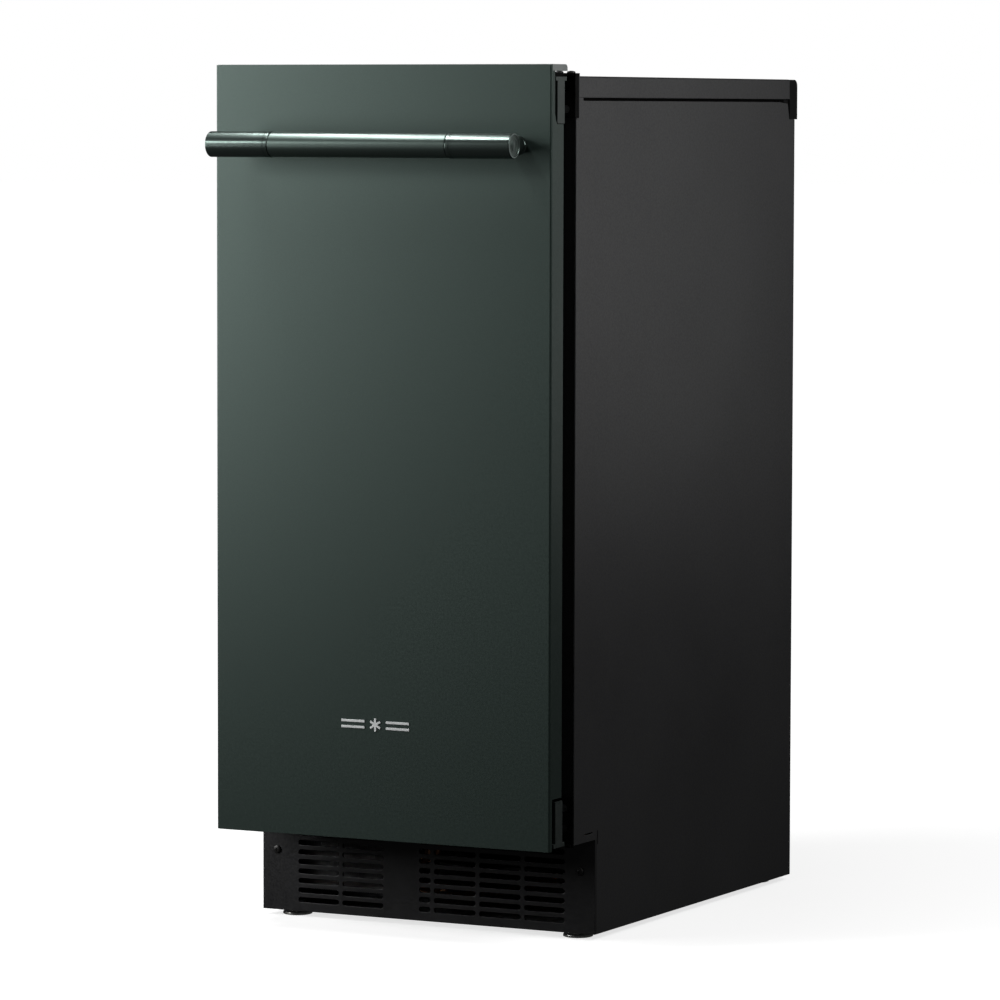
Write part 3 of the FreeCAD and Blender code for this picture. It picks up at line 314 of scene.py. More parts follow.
SHADE_SHEET_GAUGE = 0.8 * MM
SHADE_SHEET_INNER_X = 186.65
SHADE_SHEET_FRONT, SHADE_SHEET_STEP, SHADE_SHEET_REAR = 56.5, 532.3, 546.8
SHADE_SHEET_FOOT, SHADE_SHEET_LOW_FOOT, SHADE_SHEET_TOP = 830.3, 826.0, 833.1
SHADE_SHEET_OUTLINE = ((SHADE_SHEET_FRONT, SHADE_SHEET_FOOT), (SHADE_SHEET_STEP, SHADE_SHEET_FOOT), (SHADE_SHEET_STEP, SHADE_SHEET_LOW_FOOT),
                (SHADE_SHEET_REAR, SHADE_SHEET_LOW_FOOT), (SHADE_SHEET_REAR, SHADE_SHEET_TOP), (SHADE_SHEET_FRONT, SHADE_SHEET_TOP))
# One strip of painted shade in the groove along each side.
for side, shade_sheet_name in ((-1, "groove_seal_left"), (1, "groove_seal_right")):
    strip = bmesh.new()
    web = strip.faces.new([strip.verts.new(at(side * SHADE_SHEET_INNER_X, depth, height))
                           for depth, height in SHADE_SHEET_OUTLINE])
    pushed = bmesh.ops.extrude_face_region(strip, geom=[web])["geom"]
    bmesh.ops.translate(strip, vec=(side * SHADE_SHEET_GAUGE, 0.0, 0.0),
                        verts=[v for v in pushed if isinstance(v, bmesh.types.BMVert)])
    bmesh.ops.recalc_face_normals(strip, faces=strip.faces)
    dressed(eased(plain_object(shade_sheet_name, strip), 0.2 * MM), groove_shade_sheet)

# ------------------------------------------------------------------ rear guard
# A moulded rail with a soft matt skin that clips over the cover's rear edge and
# keeps the machine a finger's width off the wall.
guard_plastic = finish("matt black moulding", (0.003, 0.003, 0.003), roughness=0.45,
                       Specular_IOR_Level=0.06)
grain = pattern(guard_plastic, "TexNoise", Scale=1500.0, Detail=2.0)
tinted(guard_plastic, pattern(guard_plastic, "TexNoise", Scale=30.0, Detail=4.0),
       (0.003, 0.003, 0.003), (0.006, 0.006, 0.006))
roughened(guard_plastic, grain, 0.38, 0.52)
embossed(guard_plastic, grain, 0.03 * MM)

from_design("rear_guard", "wall_guard", guard_plastic, ease=0.6)

# ------------------------------------------------------------------ back panel
# Galvanised sheet with three pressed stiffening ribs, screwed to the folds of
# the sides.
from_design("back_panel", "back_sheet", galvanised, ease=0.25)


# ----------------------------------------------------------- rear access panel
# A second galvanised sheet over the machinery, punched with four columns of
# cooling slots and with openings for the drain, the water inlet and the cord.
def tree_named(name, inputs):
    """An empty geometry tree with its named inputs and one geometry output."""
    tree = bpy.data.node_groups.new(name, "GeometryNodeTree")
    tree.interface.new_socket("Geometry", in_out="OUTPUT", socket_type="NodeSocketGeometry")
    tree.interface.new_socket("Geometry", in_out="INPUT", socket_type="NodeSocketGeometry")
    for label, kind in inputs.items():
        tree.interface.new_socket(label, in_out="INPUT", socket_type="NodeSocket" + kind)
    source = tree.nodes.new("NodeGroupInput")
    return tree, source


def step(tree, kind, links=None, settings=None, **values):
    """Add a node, set its plain inputs and link the others from earlier nodes."""
    made = tree.nodes.new(kind)
    for label, choice in (settings or {}).items():
        setattr(made, label, choice)
    for socket, value in values.items():
        made.inputs[socket.replace("_", " ")].default_value = value
    for socket, start in (links or {}).items():
        tree.links.new(start, made.inputs[socket])
    return made


def worked_out(tree, operation, first, second):
    """Arithmetic on a socket and a socket or a number."""
    sum_node = tree.nodes.new("ShaderNodeMath")
    sum_node.operation = operation
    tree.links.new(first, sum_node.inputs[0])
    if isinstance(second, float):
        sum_node.inputs[1].default_value = second
    else:
        tree.links.new(second, sum_node.inputs[1])
    return sum_node.outputs[0]


def finished_tree(tree, source, geometry):
    """Close a tree: copies made real, then the finish."""
    real = step(tree, "GeometryNodeRealizeInstances", {"Geometry": geometry})
    dress = step(tree, "GeometryNodeSetMaterial", {
        "Geometry": real.outputs[0], "Material": source.outputs["Finish"]})
    end = tree.nodes.new("NodeGroupOutput")
    tree.links.new(dress.outputs[0], end.inputs[0])


def grown(name, tree, values, mesh=None):
    """Run a tree on a new object with its inputs set, and leave it attached."""
    piece = bpy.data.objects.new(name, mesh or bpy.data.meshes.new(name))
    bpy.context.scene.collection.objects.link(piece)
    growth = piece.modifiers.new("growth", "NODES")
    growth.node_group = tree
    for item in tree.interface.items_tree:
        if item.in_out == "INPUT" and item.name in values:
            growth[item.identifier] = values[item.name]
    return piece


def punched_plate_tree(name, bars, holes):
    """Flat plate with equal columns of round-ended slots, one column for each bar.

    Bars are (centre, width) and holes are (x, z, radius), all in metres.
    """
    tree, source = tree_named(name, {
        "Width": "Float", "Height": "Float", "Slot height": "Float", "Rows": "Int",
        "Row pitch": "Float", "Lowest row": "Float", "Middle height": "Float",
        "Finish": "Material"})
    edge = step(tree, "GeometryNodeCurvePrimitiveQuadrilateral", {
        "Width": source.outputs["Width"], "Height": source.outputs["Height"]})
    lift = step(tree, "ShaderNodeCombineXYZ", {"Y": source.outputs["Middle height"]})
    placed = step(tree, "GeometryNodeTransform", {
        "Geometry": edge.outputs[0], "Translation": lift.outputs[0]})
    pitch = step(tree, "ShaderNodeCombineXYZ", {"Y": source.outputs["Row pitch"]})
    end_radius = worked_out(tree, "MULTIPLY", source.outputs["Slot height"], 0.495)
    curves = [placed.outputs[0]]
    for centre, width in bars:
        slot = step(tree, "GeometryNodeCurvePrimitiveQuadrilateral", {
            "Height": source.outputs["Slot height"]}, Width=width)
        ends = step(tree, "GeometryNodeFilletCurve", {
            "Curve": slot.outputs[0], "Radius": end_radius},
            {"mode": "POLY"}, Count=5)
        first = step(tree, "ShaderNodeCombineXYZ", {"Y": source.outputs["Lowest row"]},
                     X=centre)
        column = step(tree, "GeometryNodeMeshLine", {
            "Count": source.outputs["Rows"], "Start Location": first.outputs[0],
            "Offset": pitch.outputs[0]})
        spread = step(tree, "GeometryNodeInstanceOnPoints", {
            "Points": column.outputs[0], "Instance": ends.outputs[0]})
        curves.append(spread.outputs[0])
    for x, z, radius in holes:
        hole = step(tree, "GeometryNodeCurvePrimitiveCircle", Radius=radius, Resolution=48)
        moved = step(tree, "GeometryNodeTransform", {"Geometry": hole.outputs[0]},
                     Translation=(x, z, 0.0))
        curves.append(moved.outputs[0])
    together = tree.nodes.new("GeometryNodeJoinGeometry")
    for curve in curves:
        tree.links.new(curve, together.inputs[0])
    real = step(tree, "GeometryNodeRealizeInstances", {"Geometry": together.outputs[0]})
    sheet = step(tree, "GeometryNodeFillCurve", {"Curve": real.outputs[0]}, {"mode": "NGONS"})
    upright = step(tree, "GeometryNodeTransform", {"Geometry": sheet.outputs[0]},
                   Rotation=(math.pi / 2, 0.0, 0.0))
    finished_tree(tree, source, upright.outputs[0])
    return tree


def plate_from(name, tree, values, front, thickness, ease):
    """Run the plate tree, move its face to front and give the sheet its gauge."""
    piece = grown(name, tree, values)
    gauge = piece.modifiers.new("gauge", "SOLIDIFY")
    gauge.thickness = thickness
    gauge.offset = -1.0
    settled(piece)
    piece.data.transform(Matrix.Translation((0.0, front, 0.0)))
    return eased(piece, ease)


low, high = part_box("rear_access_panel")
SHEET_GAUGE = 1.2 * MM
COLLAR_PROUD = 2.2 * MM
SLOT_COLUMNS = [(-119.0, 62.0), (-41.0, 62.0), (41.0, 62.0), (119.0, 62.0)]
SERVICE_HOLES = [(120.0, 60.0, 24.0), (-132.0, 60.0, 17.0), (60.0, 46.0, 6.2)]
access_tree = punched_plate_tree(
    "cooling slots", [(x * MM, width * MM) for x, width in SLOT_COLUMNS],
    [(x * MM, z * MM, radius * MM) for x, z, radius in SERVICE_HOLES])
access = plate_from("access_sheet", access_tree, {
    "Width": high.x - low.x, "Height": high.z - low.z, "Middle height": (high.z + low.z) / 2,
    "Slot height": 5.0 * MM, "Rows": 7, "Row pitch": 13.0 * MM,
    "Lowest row": 104.0 * MM, "Finish": galvanised,
}, high.y - COLLAR_PROUD - SHEET_GAUGE, SHEET_GAUGE, 0.2 * MM)
dressed(access, galvanised, nodes=["rear_access_panel"])

cord_bush = finish("moulded bush", (0.012, 0.012, 0.013), roughness=0.5)
roughened(cord_bush, pattern(cord_bush, "TexNoise", Scale=900.0), 0.40, 0.60)
embossed(cord_bush, pattern(cord_bush, "TexNoise", Scale=2000.0), 0.02 * MM)
bush = turned("cord_entry_bush", [
    (0.0, 6.0 * MM), (0.0, 9.0 * MM), (3.0 * MM, 9.0 * MM), (3.0 * MM, 11.5 * MM),
    *arc(5.6 * MM, 10.7 * MM, 0.8 * MM, 90.0, 0.0), (6.4 * MM, 6.0 * MM),
], Vector((60.0 * MM, high.y - 6.4 * MM, 46.0 * MM)), (0, 1, 0), ring=True)
dressed(eased(bush, 0.0), cord_bush)

# ---------------------------------------------------------------------- screws
# Pan-head machine screws with a cross recess: fourteen zinc-plated ones in the
# rear, two black ones in the toe grille and two through the cover.  Countersunk
# black ones hold the hinge brackets.
SCREW_HEAD = 4.2 * MM
SCREW_RISE = 2.3 * MM


def screw_head():
    """One screw that points up from the origin, with a cross cut in its head."""
    head = turned("screw", [
        (-6.0 * MM, 0.0), (-6.0 * MM, 1.9 * MM), (0.0, 1.9 * MM), (0.0, SCREW_HEAD - 0.2 * MM),
        (0.3 * MM, SCREW_HEAD), (0.9 * MM, SCREW_HEAD),
        *[(SCREW_RISE * (0.4 + 0.6 * math.sin(t * math.pi / 16)),
           SCREW_HEAD * math.cos(t * math.pi / 16)) for t in range(1, 7)],
        (SCREW_RISE, SCREW_HEAD * 0.25), (SCREW_RISE, 0.0),
    ], Vector((0, 0, 0)), steps=20)
    cross = bmesh.new()
    for arm in range(2):
        made = bmesh.ops.create_cube(cross, size=1.0)
        size = (4.0 * MM, 0.9 * MM, 2.6 * MM) if arm else (0.9 * MM, 4.0 * MM, 2.6 * MM)
        bmesh.ops.scale(cross, vec=size, verts=made["verts"])
        bmesh.ops.translate(cross, vec=(0, 0, SCREW_RISE), verts=made["verts"])
    tool = plain_object("cross", cross)
    cut = head.modifiers.new("recess", "BOOLEAN")
    cut.object = tool
    cut.solver = "EXACT"
    cut.use_self = True
    settled(head)
    bpy.data.objects.remove(tool)
    return head


def scatter_tree():
    """A part set on every point, turned to face that point's way."""
    tree, source = tree_named("set in place", {
        "Part": "Object", "Seed": "Int", "Finish": "Material"})
    way = step(tree, "GeometryNodeInputNamedAttribute",
               settings={"data_type": "FLOAT_VECTOR"}, Name="facing")
    face = step(tree, "FunctionNodeAlignRotationToVector", {"Vector": way.outputs[0]},
                {"axis": "Z"})
    spin = step(tree, "FunctionNodeRandomValue", {"Seed": source.outputs["Seed"]},
                {"data_type": "FLOAT"}, Max=math.tau)
    angle = next(socket for socket in spin.outputs if socket.enabled)
    about = step(tree, "ShaderNodeCombineXYZ", {"Z": angle})
    driven = step(tree, "FunctionNodeRotateRotation", {
        "Rotation": face.outputs[0], "Rotate By": about.outputs[0]},
        {"rotation_space": "LOCAL"})
    part = step(tree, "GeometryNodeObjectInfo", {"Object": source.outputs["Part"]})
    spread = step(tree, "GeometryNodeInstanceOnPoints", {
        "Points": source.outputs["Geometry"], "Instance": part.outputs["Geometry"],
        "Rotation": driven.outputs[0]})
    finished_tree(tree, source, spread.outputs[0])
    return tree


def set_in_place(name, tree, part, places, material, seed):
    """Copies of a part at (point, facing) places, as one mesh."""
    mesh = bpy.data.meshes.new(name)
    mesh.from_pydata([point for point, _ in places], [], [])
    facing = mesh.attributes.new("facing", "FLOAT_VECTOR", "POINT")
    facing.data.foreach_set("vector", [x for _, way in places for x in way])
    piece = grown(name, tree, {"Part": part, "Seed": seed, "Finish": material}, mesh)
    return eased(settled(piece), 0.0)


REARWARD, FORWARD, UPWARD = (0, 1, 0), (0, -1, 0), (0, 0, 1)
black_oxide = finish("black oxide", (0.028, 0.028, 0.030), metallic=0.7, roughness=0.4)
roughened(black_oxide, pattern(black_oxide, "TexNoise", Scale=700.0), 0.30, 0.50)
tinted(black_oxide, pattern(black_oxide, "TexNoise", Scale=300.0),
       (0.020, 0.020, 0.022), (0.045, 0.044, 0.042))

one_screw = screw_head()
scatter = scatter_tree()
toe_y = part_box("toe_grille")[0].y
access_y = high.y - COLLAR_PROUD
back_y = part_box("side_panel_right")[1].y
ACCESS_SCREW_X, ACCESS_SCREW_HEIGHTS = 180.0 * MM, (24.0, 118.0, 212.0)
ACCESS_TOP_X, ACCESS_TOP_HEIGHT = 60.0 * MM, 219.0 * MM
BACK_SCREW_X, BACK_SCREW_HEIGHTS = 180.5 * MM, (330.0, 560.0, 790.0)
rear_places = [((x, access_y, z * MM), REARWARD)
               for x in (-ACCESS_SCREW_X, ACCESS_SCREW_X) for z in ACCESS_SCREW_HEIGHTS]
rear_places += [((x, access_y, ACCESS_TOP_HEIGHT), REARWARD)
                for x in (-ACCESS_TOP_X, ACCESS_TOP_X)]
rear_places += [((x, back_y, z * MM), REARWARD)
                for x in (-BACK_SCREW_X, BACK_SCREW_X) for z in BACK_SCREW_HEIGHTS]
rear_screws = set_in_place("rear_fixings", scatter, one_screw, rear_places, zinc, 4)
dressed(rear_screws, zinc, nodes=["cabinet_screws"])
TOE_SCREW_X, TOE_SCREW_HEIGHT = 172.0 * MM, 68.0 * MM
toe_places = [((x, toe_y, TOE_SCREW_HEIGHT), FORWARD) for x in (-TOE_SCREW_X, TOE_SCREW_X)]
toe_screws = set_in_place("toe_fixings", scatter, one_screw, toe_places, black_oxide, 7)
dressed(toe_screws, black_oxide)

bracket_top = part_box("hinge_bracket_upper")[1].z
COVER_SCREW_DEPTH = 53.5
COVER_SCREWS_REACH = 15.0 * MM
cover_places = [(at(x, COVER_SCREW_DEPTH, bracket_top / MM), UPWARD) for x in (168.0, 181.0)]
cover_screws = set_in_place("cover_fixings", scatter, one_screw, cover_places, black_oxide, 9)
dressed(cover_screws, black_oxide, nodes=["hinge_screws"])
countersunk = merged("hinge_screws")
bmesh.ops.delete(countersunk, context="VERTS",
                 geom=[vert for vert in countersunk.verts
                       if vert.co.z > bracket_top - COVER_SCREWS_REACH])
face_screws = eased(plain_object("face_fixings", countersunk), 0.15 * MM)
dressed(face_screws, black_oxide)

# ----------------------------------------------------------------- toe grille
# The kick plate under the door: a black coated steel sheet punched with eight
# rows of slots in two blocks, so that the fan can draw air past the condenser.
grille_paint = finish("semi-gloss black coat", (0.013, 0.013, 0.014), roughness=0.34,
                      Specular_IOR_Level=0.5)
grille_peel = pattern(grille_paint, "TexNoise", Scale=640.0, Detail=3.0)
tinted(grille_paint, pattern(grille_paint, "TexNoise", Scale=24.0, Detail=4.0),
       (0.010, 0.010, 0.011), (0.018, 0.018, 0.019))
roughened(grille_paint, grille_peel, 0.28, 0.44)
embossed(grille_paint, grille_peel, 0.03 * MM)

low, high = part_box("toe_grille")
GRILLE_GAUGE = 2.5 * MM
GRILLE_BARS = [(-147.4, -100.6), (-96.4, -49.4), (-8.3, 4.6), (8.5, 55.6), (59.7, 106.2),
               (110.3, 155.2)]
grille_tree = punched_plate_tree("grille slots", [
    ((x0 + x1) / 2 * MM, (x1 - x0) * MM) for x0, x1 in GRILLE_BARS], [])
grille = plate_from("kick_plate", grille_tree, {
    "Width": high.x - low.x, "Height": high.z - low.z, "Middle height": (high.z + low.z) / 2,
    "Slot height": 5.3 * MM, "Rows": 8, "Row pitch": 9.8 * MM,
    "Lowest row": 17.9 * MM, "Finish": grille_paint,
}, low.y, GRILLE_GAUGE, 0.45 * MM)
dressed(grille, grille_paint, nodes=["toe_grille"])

# ----------------------------------------------------- front frame and hinges
# The breaker frame closes the cabinet's front round the bin.  Two powder coated
# brackets are screwed to it and hold the steel pins that the door turns on.
frame_black = finish("matt black frame coat", (0.004, 0.004, 0.004), roughness=0.55,
                     Specular_IOR_Level=0.15)
frame_grain = pattern(frame_black, "TexNoise", Scale=800.0, Detail=2.0)
tinted(frame_black, frame_grain, (0.003, 0.003, 0.003), (0.006, 0.006, 0.006))
roughened(frame_black, frame_grain, 0.48, 0.62)
from_design("front_frame", "breaker_frame", frame_black, ease=0.3)

bracket_coat = finish("black powder coat", (0.003, 0.003, 0.003), roughness=0.5,
                      Specular_IOR_Level=0.03)
powder = pattern(bracket_coat, "TexNoise", Scale=900.0, Detail=3.0)
tinted(bracket_coat, pattern(bracket_coat, "TexNoise", Scale=120.0),
       (0.001, 0.001, 0.001), (0.004, 0.004, 0.004))
roughened(bracket_coat, powder, 0.42, 0.60)
embossed(bracket_coat, powder, 0.04 * MM)
from_design("hinge_bracket_upper", "upper_bracket", bracket_coat, ease=0.35)
from_design("hinge_bracket_lower", "lower_bracket", bracket_coat, ease=0.35)

pin_steel = finish("ground steel pin", (0.60, 0.60, 0.61), metallic=1.0, roughness=0.25)
ground = pattern(pin_steel, "TexNoise", (1.0, 1.0, 14.0), Scale=260.0, Detail=4.0)
roughened(pin_steel, ground, 0.18, 0.36)
tinted(pin_steel, ground, (0.50, 0.50, 0.51), (0.66, 0.66, 0.66))
from_design("hinge_pins", "door_pins", pin_steel, ease=0.4)

# --------------------------------------------------------- foam and bin liner
# Foam fills the walls round a thermoformed white liner whose flange shows in
# the door opening.  Rails and pegs moulded into the liner carry the ice deck.
foam = finish("polyurethane foam", (0.80, 0.72, 0.46), roughness=0.85,
              Subsurface_Weight=0.05)
cells = pattern(foam, "TexVoronoi", Scale=420.0)
tinted(foam, cells, (0.66, 0.56, 0.32), (0.84, 0.77, 0.52), 0.0, 0.8)
embossed(foam, cells, 0.4 * MM)
embossed(foam, pattern(foam, "TexNoise", Scale=60.0, Detail=5.0), 0.8 * MM)
from_design("cabinet_insulation", "wall_foam", foam, ease=1.0)

liner_white = finish("white liner", (0.83, 0.85, 0.86), roughness=0.30,
                     Subsurface_Weight=0.08, Coat_Weight=0.15)
draw = pattern(liner_white, "TexNoise", Scale=14.0, Detail=3.0)
tinted(liner_white, draw, (0.79, 0.81, 0.82), (0.86, 0.875, 0.88))
roughened(liner_white, pattern(liner_white, "TexNoise", Scale=330.0), 0.24, 0.40)
embossed(liner_white, pattern(liner_white, "TexNoise", Scale=750.0), 0.02 * MM)
embossed(liner_white, draw, 0.25 * MM)
from_design("bin_liner", "ice_bin", liner_white, ease=0.8)

# ----------------------------------------------------------------- bin sensor
# A thermistor in a black clip on the bin's wall: ice that piles up against it
# stops the machine.
sensor_plastic = finish("sensor moulding", (0.030, 0.030, 0.033), roughness=0.42)
roughened(sensor_plastic, pattern(sensor_plastic, "TexNoise", Scale=900.0), 0.34, 0.52)
tinted(sensor_plastic, pattern(sensor_plastic, "TexNoise", Scale=70.0),
       (0.024, 0.024, 0.026), (0.042, 0.042, 0.046))
embossed(sensor_plastic, pattern(sensor_plastic, "TexNoise", Scale=1800.0), 0.02 * MM)
from_design("bin_sensor", "ice_level_sensor", sensor_plastic, ease=0.4)

# ------------------------------------------------------------------ bin drain
# Melt water leaves through a moulded tube under a flange in the bin's floor and
# out of the back, where a hose is pushed over the spigot and clamped.
def rounded_route(points, bend, steps=7):
    """Straight runs joined by tangent arcs, as a tube bender makes them."""
    route = [points[0]]
    for before, corner, after in zip(points, points[1:], points[2:]):
        into, out = (corner - before).normalized(), (after - corner).normalized()
        turn = into.angle(out)
        setback = bend * math.tan(turn / 2)
        middle = corner + (out - into).normalized() * (bend / math.cos(turn / 2))
        start = corner - into * setback - middle
        axis = into.cross(out)
        for i in range(steps + 1):
            route.append(middle + Matrix.Rotation(turn * i / steps, 3, axis) @ start)
    return route + [points[-1]]


def bent_tube(name, runs, sides=16):
    """Round bars or tubes, each given by its points, its radius and its bend."""
    work = bmesh.new()
    for points, radius, bend in runs:
        route = rounded_route(points, bend)
        route = [p for i, p in enumerate(route) if i == 0 or (p - route[i - 1]).length > 1e-6]
        forward = (route[1] - route[0]).normalized()
        side = forward.orthogonal().normalized()
        last = []
        for i, point in enumerate(route):
            ahead = route[min(i + 1, len(route) - 1)] - route[max(i - 1, 0)]
            ahead.normalize()
            side = (side - ahead * side.dot(ahead)).normalized()
            up = ahead.cross(side)
            ring = [work.verts.new(point + radius * (
                side * math.cos(math.tau * k / sides) + up * math.sin(math.tau * k / sides)))
                for k in range(sides)]
            for k in range(sides if last else 0):
                j = (k + 1) % sides
                work.faces.new((last[k], last[j], ring[j], ring[k]))
            if not last:
                work.faces.new(ring[::-1])
            last = ring
        work.faces.new(last)
    return eased(plain_object(name, work), 0.0, crease=50.0)


deck_plastic = finish("moulded deck plastic", (0.78, 0.80, 0.82), roughness=0.42,
                      Subsurface_Weight=0.06)
skin = pattern(deck_plastic, "TexNoise", Scale=620.0, Detail=2.0)
tinted(deck_plastic, pattern(deck_plastic, "TexNoise", Scale=26.0, Detail=4.0),
       (0.72, 0.745, 0.77), (0.82, 0.835, 0.85))
roughened(deck_plastic, skin, 0.34, 0.52)
embossed(deck_plastic, skin, 0.02 * MM)

DRAIN_X, DRAIN_DEPTH = -132.0, 500.0
BIN_FLOOR = 238.8
spout = bent_tube("drain_pipe", [([
    at(DRAIN_X, DRAIN_DEPTH, BIN_FLOOR + 0.5), at(DRAIN_X, DRAIN_DEPTH, 120.0),
    at(DRAIN_X, 548.0, 60.0), at(DRAIN_X, 566.0, 60.0)], 9.0 * MM, 34.0 * MM)], 28)
dressed(spout, deck_plastic, nodes=["drain_fitting"])
flange = turned("drain_flange", [
    (0.0, 6.9 * MM), (0.0, 17.0 * MM), *arc(1.4 * MM, 16.0 * MM, 1.0 * MM, 90.0, 0.0),
    (2.4 * MM, 9.0 * MM), (1.2 * MM, 7.4 * MM)], at(DRAIN_X, DRAIN_DEPTH, BIN_FLOOR), ring=True)
dressed(eased(flange, 0.0), deck_plastic)
barbs = [(0.0, 7.0 * MM), (0.0, 9.0 * MM)]
for rib in range(4):
    barbs += [((3.0 + 3.4 * rib) * MM, 9.0 * MM), ((3.2 + 3.4 * rib) * MM, 9.5 * MM),
              ((3.8 + 3.4 * rib) * MM, 9.5 * MM)]
barbs += [(16.4 * MM, 8.4 * MM), (16.5 * MM, 7.6 * MM), (16.2 * MM, 7.0 * MM)]
spigot = turned("drain_spigot", barbs, at(DRAIN_X, 562.0, 60.0), REARWARD, ring=True)
dressed(eased(spigot, 0.0), deck_plastic)

# ------------------------------------------------------------------ condenser
# Thin aluminium fins pressed on two serpentines of copper tube, which stand
# behind the grille on the base pan.
fin_metal = finish("mill aluminium", (0.50, 0.51, 0.52), metallic=1.0, roughness=0.36)
rolled = pattern(fin_metal, "TexNoise", (1.0, 1.0, 22.0), Scale=140.0, Detail=3.0)
tinted(fin_metal, rolled, (0.42, 0.43, 0.44), (0.56, 0.57, 0.58))
roughened(fin_metal, rolled, 0.28, 0.46)

copper = finish("drawn copper", (0.72, 0.36, 0.20), metallic=1.0, roughness=0.3)
tarnish = pattern(copper, "TexNoise", Scale=55.0, Detail=6.0)
tinted(copper, tarnish, (0.48, 0.22, 0.12), (0.78, 0.42, 0.25), 0.35, 0.62)
roughened(copper, tarnish, 0.40, 0.22)
embossed(copper, pattern(copper, "TexNoise", Scale=1300.0), 0.006 * MM)


def fin_pack_tree(rows, tubes):
    """Thin plates in a row across x, each pierced where the tubes pass."""
    tree, source = tree_named("fin pack", {
        "Depth": "Float", "Height": "Float", "Count": "Int", "Pitch": "Float",
        "Tube hole": "Float", "Finish": "Material"})
    edge = step(tree, "GeometryNodeCurvePrimitiveQuadrilateral", {
        "Width": source.outputs["Depth"], "Height": source.outputs["Height"]})
    together = tree.nodes.new("GeometryNodeJoinGeometry")
    tree.links.new(edge.outputs[0], together.inputs[0])
    for across in tubes:
        for up in rows:
            hole = step(tree, "GeometryNodeCurvePrimitiveCircle", {
                "Radius": source.outputs["Tube hole"]}, Resolution=16)
            moved = step(tree, "GeometryNodeTransform", {"Geometry": hole.outputs[0]},
                         Translation=(across, up, 0.0))
            tree.links.new(moved.outputs[0], together.inputs[0])
    plate = step(tree, "GeometryNodeFillCurve", {"Curve": together.outputs[0]})
    upright = step(tree, "GeometryNodeTransform", {"Geometry": plate.outputs[0]},
                   Rotation=(math.pi / 2, 0.0, math.pi / 2))
    pitch = step(tree, "ShaderNodeCombineXYZ", {"X": source.outputs["Pitch"]})
    line = step(tree, "GeometryNodeMeshLine", {
        "Count": source.outputs["Count"], "Offset": pitch.outputs[0]})
    spread = step(tree, "GeometryNodeInstanceOnPoints", {
        "Points": line.outputs[0], "Instance": upright.outputs[0]})
    finished_tree(tree, source, spread.outputs[0])
    return tree


FIN_GAUGE = 0.35 * MM
FIN_COUNT = 63
coil_rows = [34.0 + 28.0 * i for i in range(6)]
low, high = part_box("condenser_fins")
middle = (low + high) / 2
fins_tree = fin_pack_tree([z * MM - middle.z for z in coil_rows], [-10.0 * MM, 10.0 * MM])
fins = grown("cooling_fins", fins_tree, {
    "Depth": high.y - low.y, "Height": high.z - low.z, "Count": FIN_COUNT,
    "Pitch": (high.x - low.x - FIN_GAUGE) / (FIN_COUNT - 1), "Tube hole": 4.1 * MM,
    "Finish": fin_metal})
gauge = fins.modifiers.new("gauge", "SOLIDIFY")
gauge.thickness = FIN_GAUGE
gauge.offset = 0.0
settled(fins)
fins.data.transform(Matrix.Translation((low.x + FIN_GAUGE / 2, middle.y, middle.z)))
dressed(fins, fin_metal, nodes=["condenser_fins"])


def to_and_fro(x0, x1, rows):
    """Points of a tube that runs between two x, with one (depth, z) for each row."""
    points = []
    for i, (depth, z) in enumerate(rows):
        points += [at(x, depth, z) for x in ((x0, x1) if i % 2 == 0 else (x1, x0))]
    return points


condenser_runs = []
for depth in (122.0, 142.0):
    run = to_and_fro(-10.0, -176.0, [(depth, z) for z in coil_rows])
    run[0] = at(0.0, depth, coil_rows[0])
    condenser_runs.append((run, 4.0 * MM, 13.9 * MM))
coil = bent_tube("condenser_tubes", condenser_runs)
dressed(coil, copper, nodes=["condenser_coil"])

# ------------------------------------------------------------------------ fan
# A moulded five-blade fan on a shaded-pole motor, held by three arms behind a
# moulded shroud, draws air through the condenser.
FAN_X, FAN_Z = -95.0, 103.0
from_design("fan_shroud", "shroud", cord_bush, ease=0.4)
motor_paint = finish("grey motor coat", (0.19, 0.20, 0.21), metallic=0.3, roughness=0.45)
cast = pattern(motor_paint, "TexNoise", Scale=480.0, Detail=3.0)
tinted(motor_paint, pattern(motor_paint, "TexNoise", Scale=40.0, Detail=4.0),
       (0.15, 0.16, 0.17), (0.23, 0.24, 0.25))
roughened(motor_paint, cast, 0.36, 0.56)
embossed(motor_paint, cast, 0.04 * MM)
from_design("fan_motor", "fan_drive", motor_paint, ease=0.4)

fan_plastic = finish("black fan moulding", (0.045, 0.046, 0.050), roughness=0.38)
flow = pattern(fan_plastic, "TexNoise", Scale=90.0, Detail=4.0)
tinted(fan_plastic, flow, (0.036, 0.037, 0.040), (0.058, 0.059, 0.064))
roughened(fan_plastic, flow, 0.30, 0.46)
embossed(fan_plastic, pattern(fan_plastic, "TexNoise", Scale=1100.0), 0.015 * MM)


def ring_tree():
    """Copies of a part spaced evenly round the z axis."""
    tree, source = tree_named("ring of copies", {
        "Part": "Object", "Count": "Int", "Finish": "Material"})
    line = step(tree, "GeometryNodeMeshLine", {"Count": source.outputs["Count"]})
    line.inputs["Offset"].default_value = (0.0, 0.0, 0.0)
    index = tree.nodes.new("GeometryNodeInputIndex")
    share = worked_out(tree, "DIVIDE", index.outputs[0], source.outputs["Count"])
    angle = worked_out(tree, "MULTIPLY", share, math.tau)
    about = step(tree, "ShaderNodeCombineXYZ", {"Z": angle})
    turn = step(tree, "FunctionNodeEulerToRotation", {"Euler": about.outputs[0]})
    part = step(tree, "GeometryNodeObjectInfo", {"Object": source.outputs["Part"]})
    spread = step(tree, "GeometryNodeInstanceOnPoints", {
        "Points": line.outputs[0], "Instance": part.outputs["Geometry"],
        "Rotation": turn.outputs[0]})
    finished_tree(tree, source, spread.outputs[0])
    return tree


ring_of_copies = ring_tree()


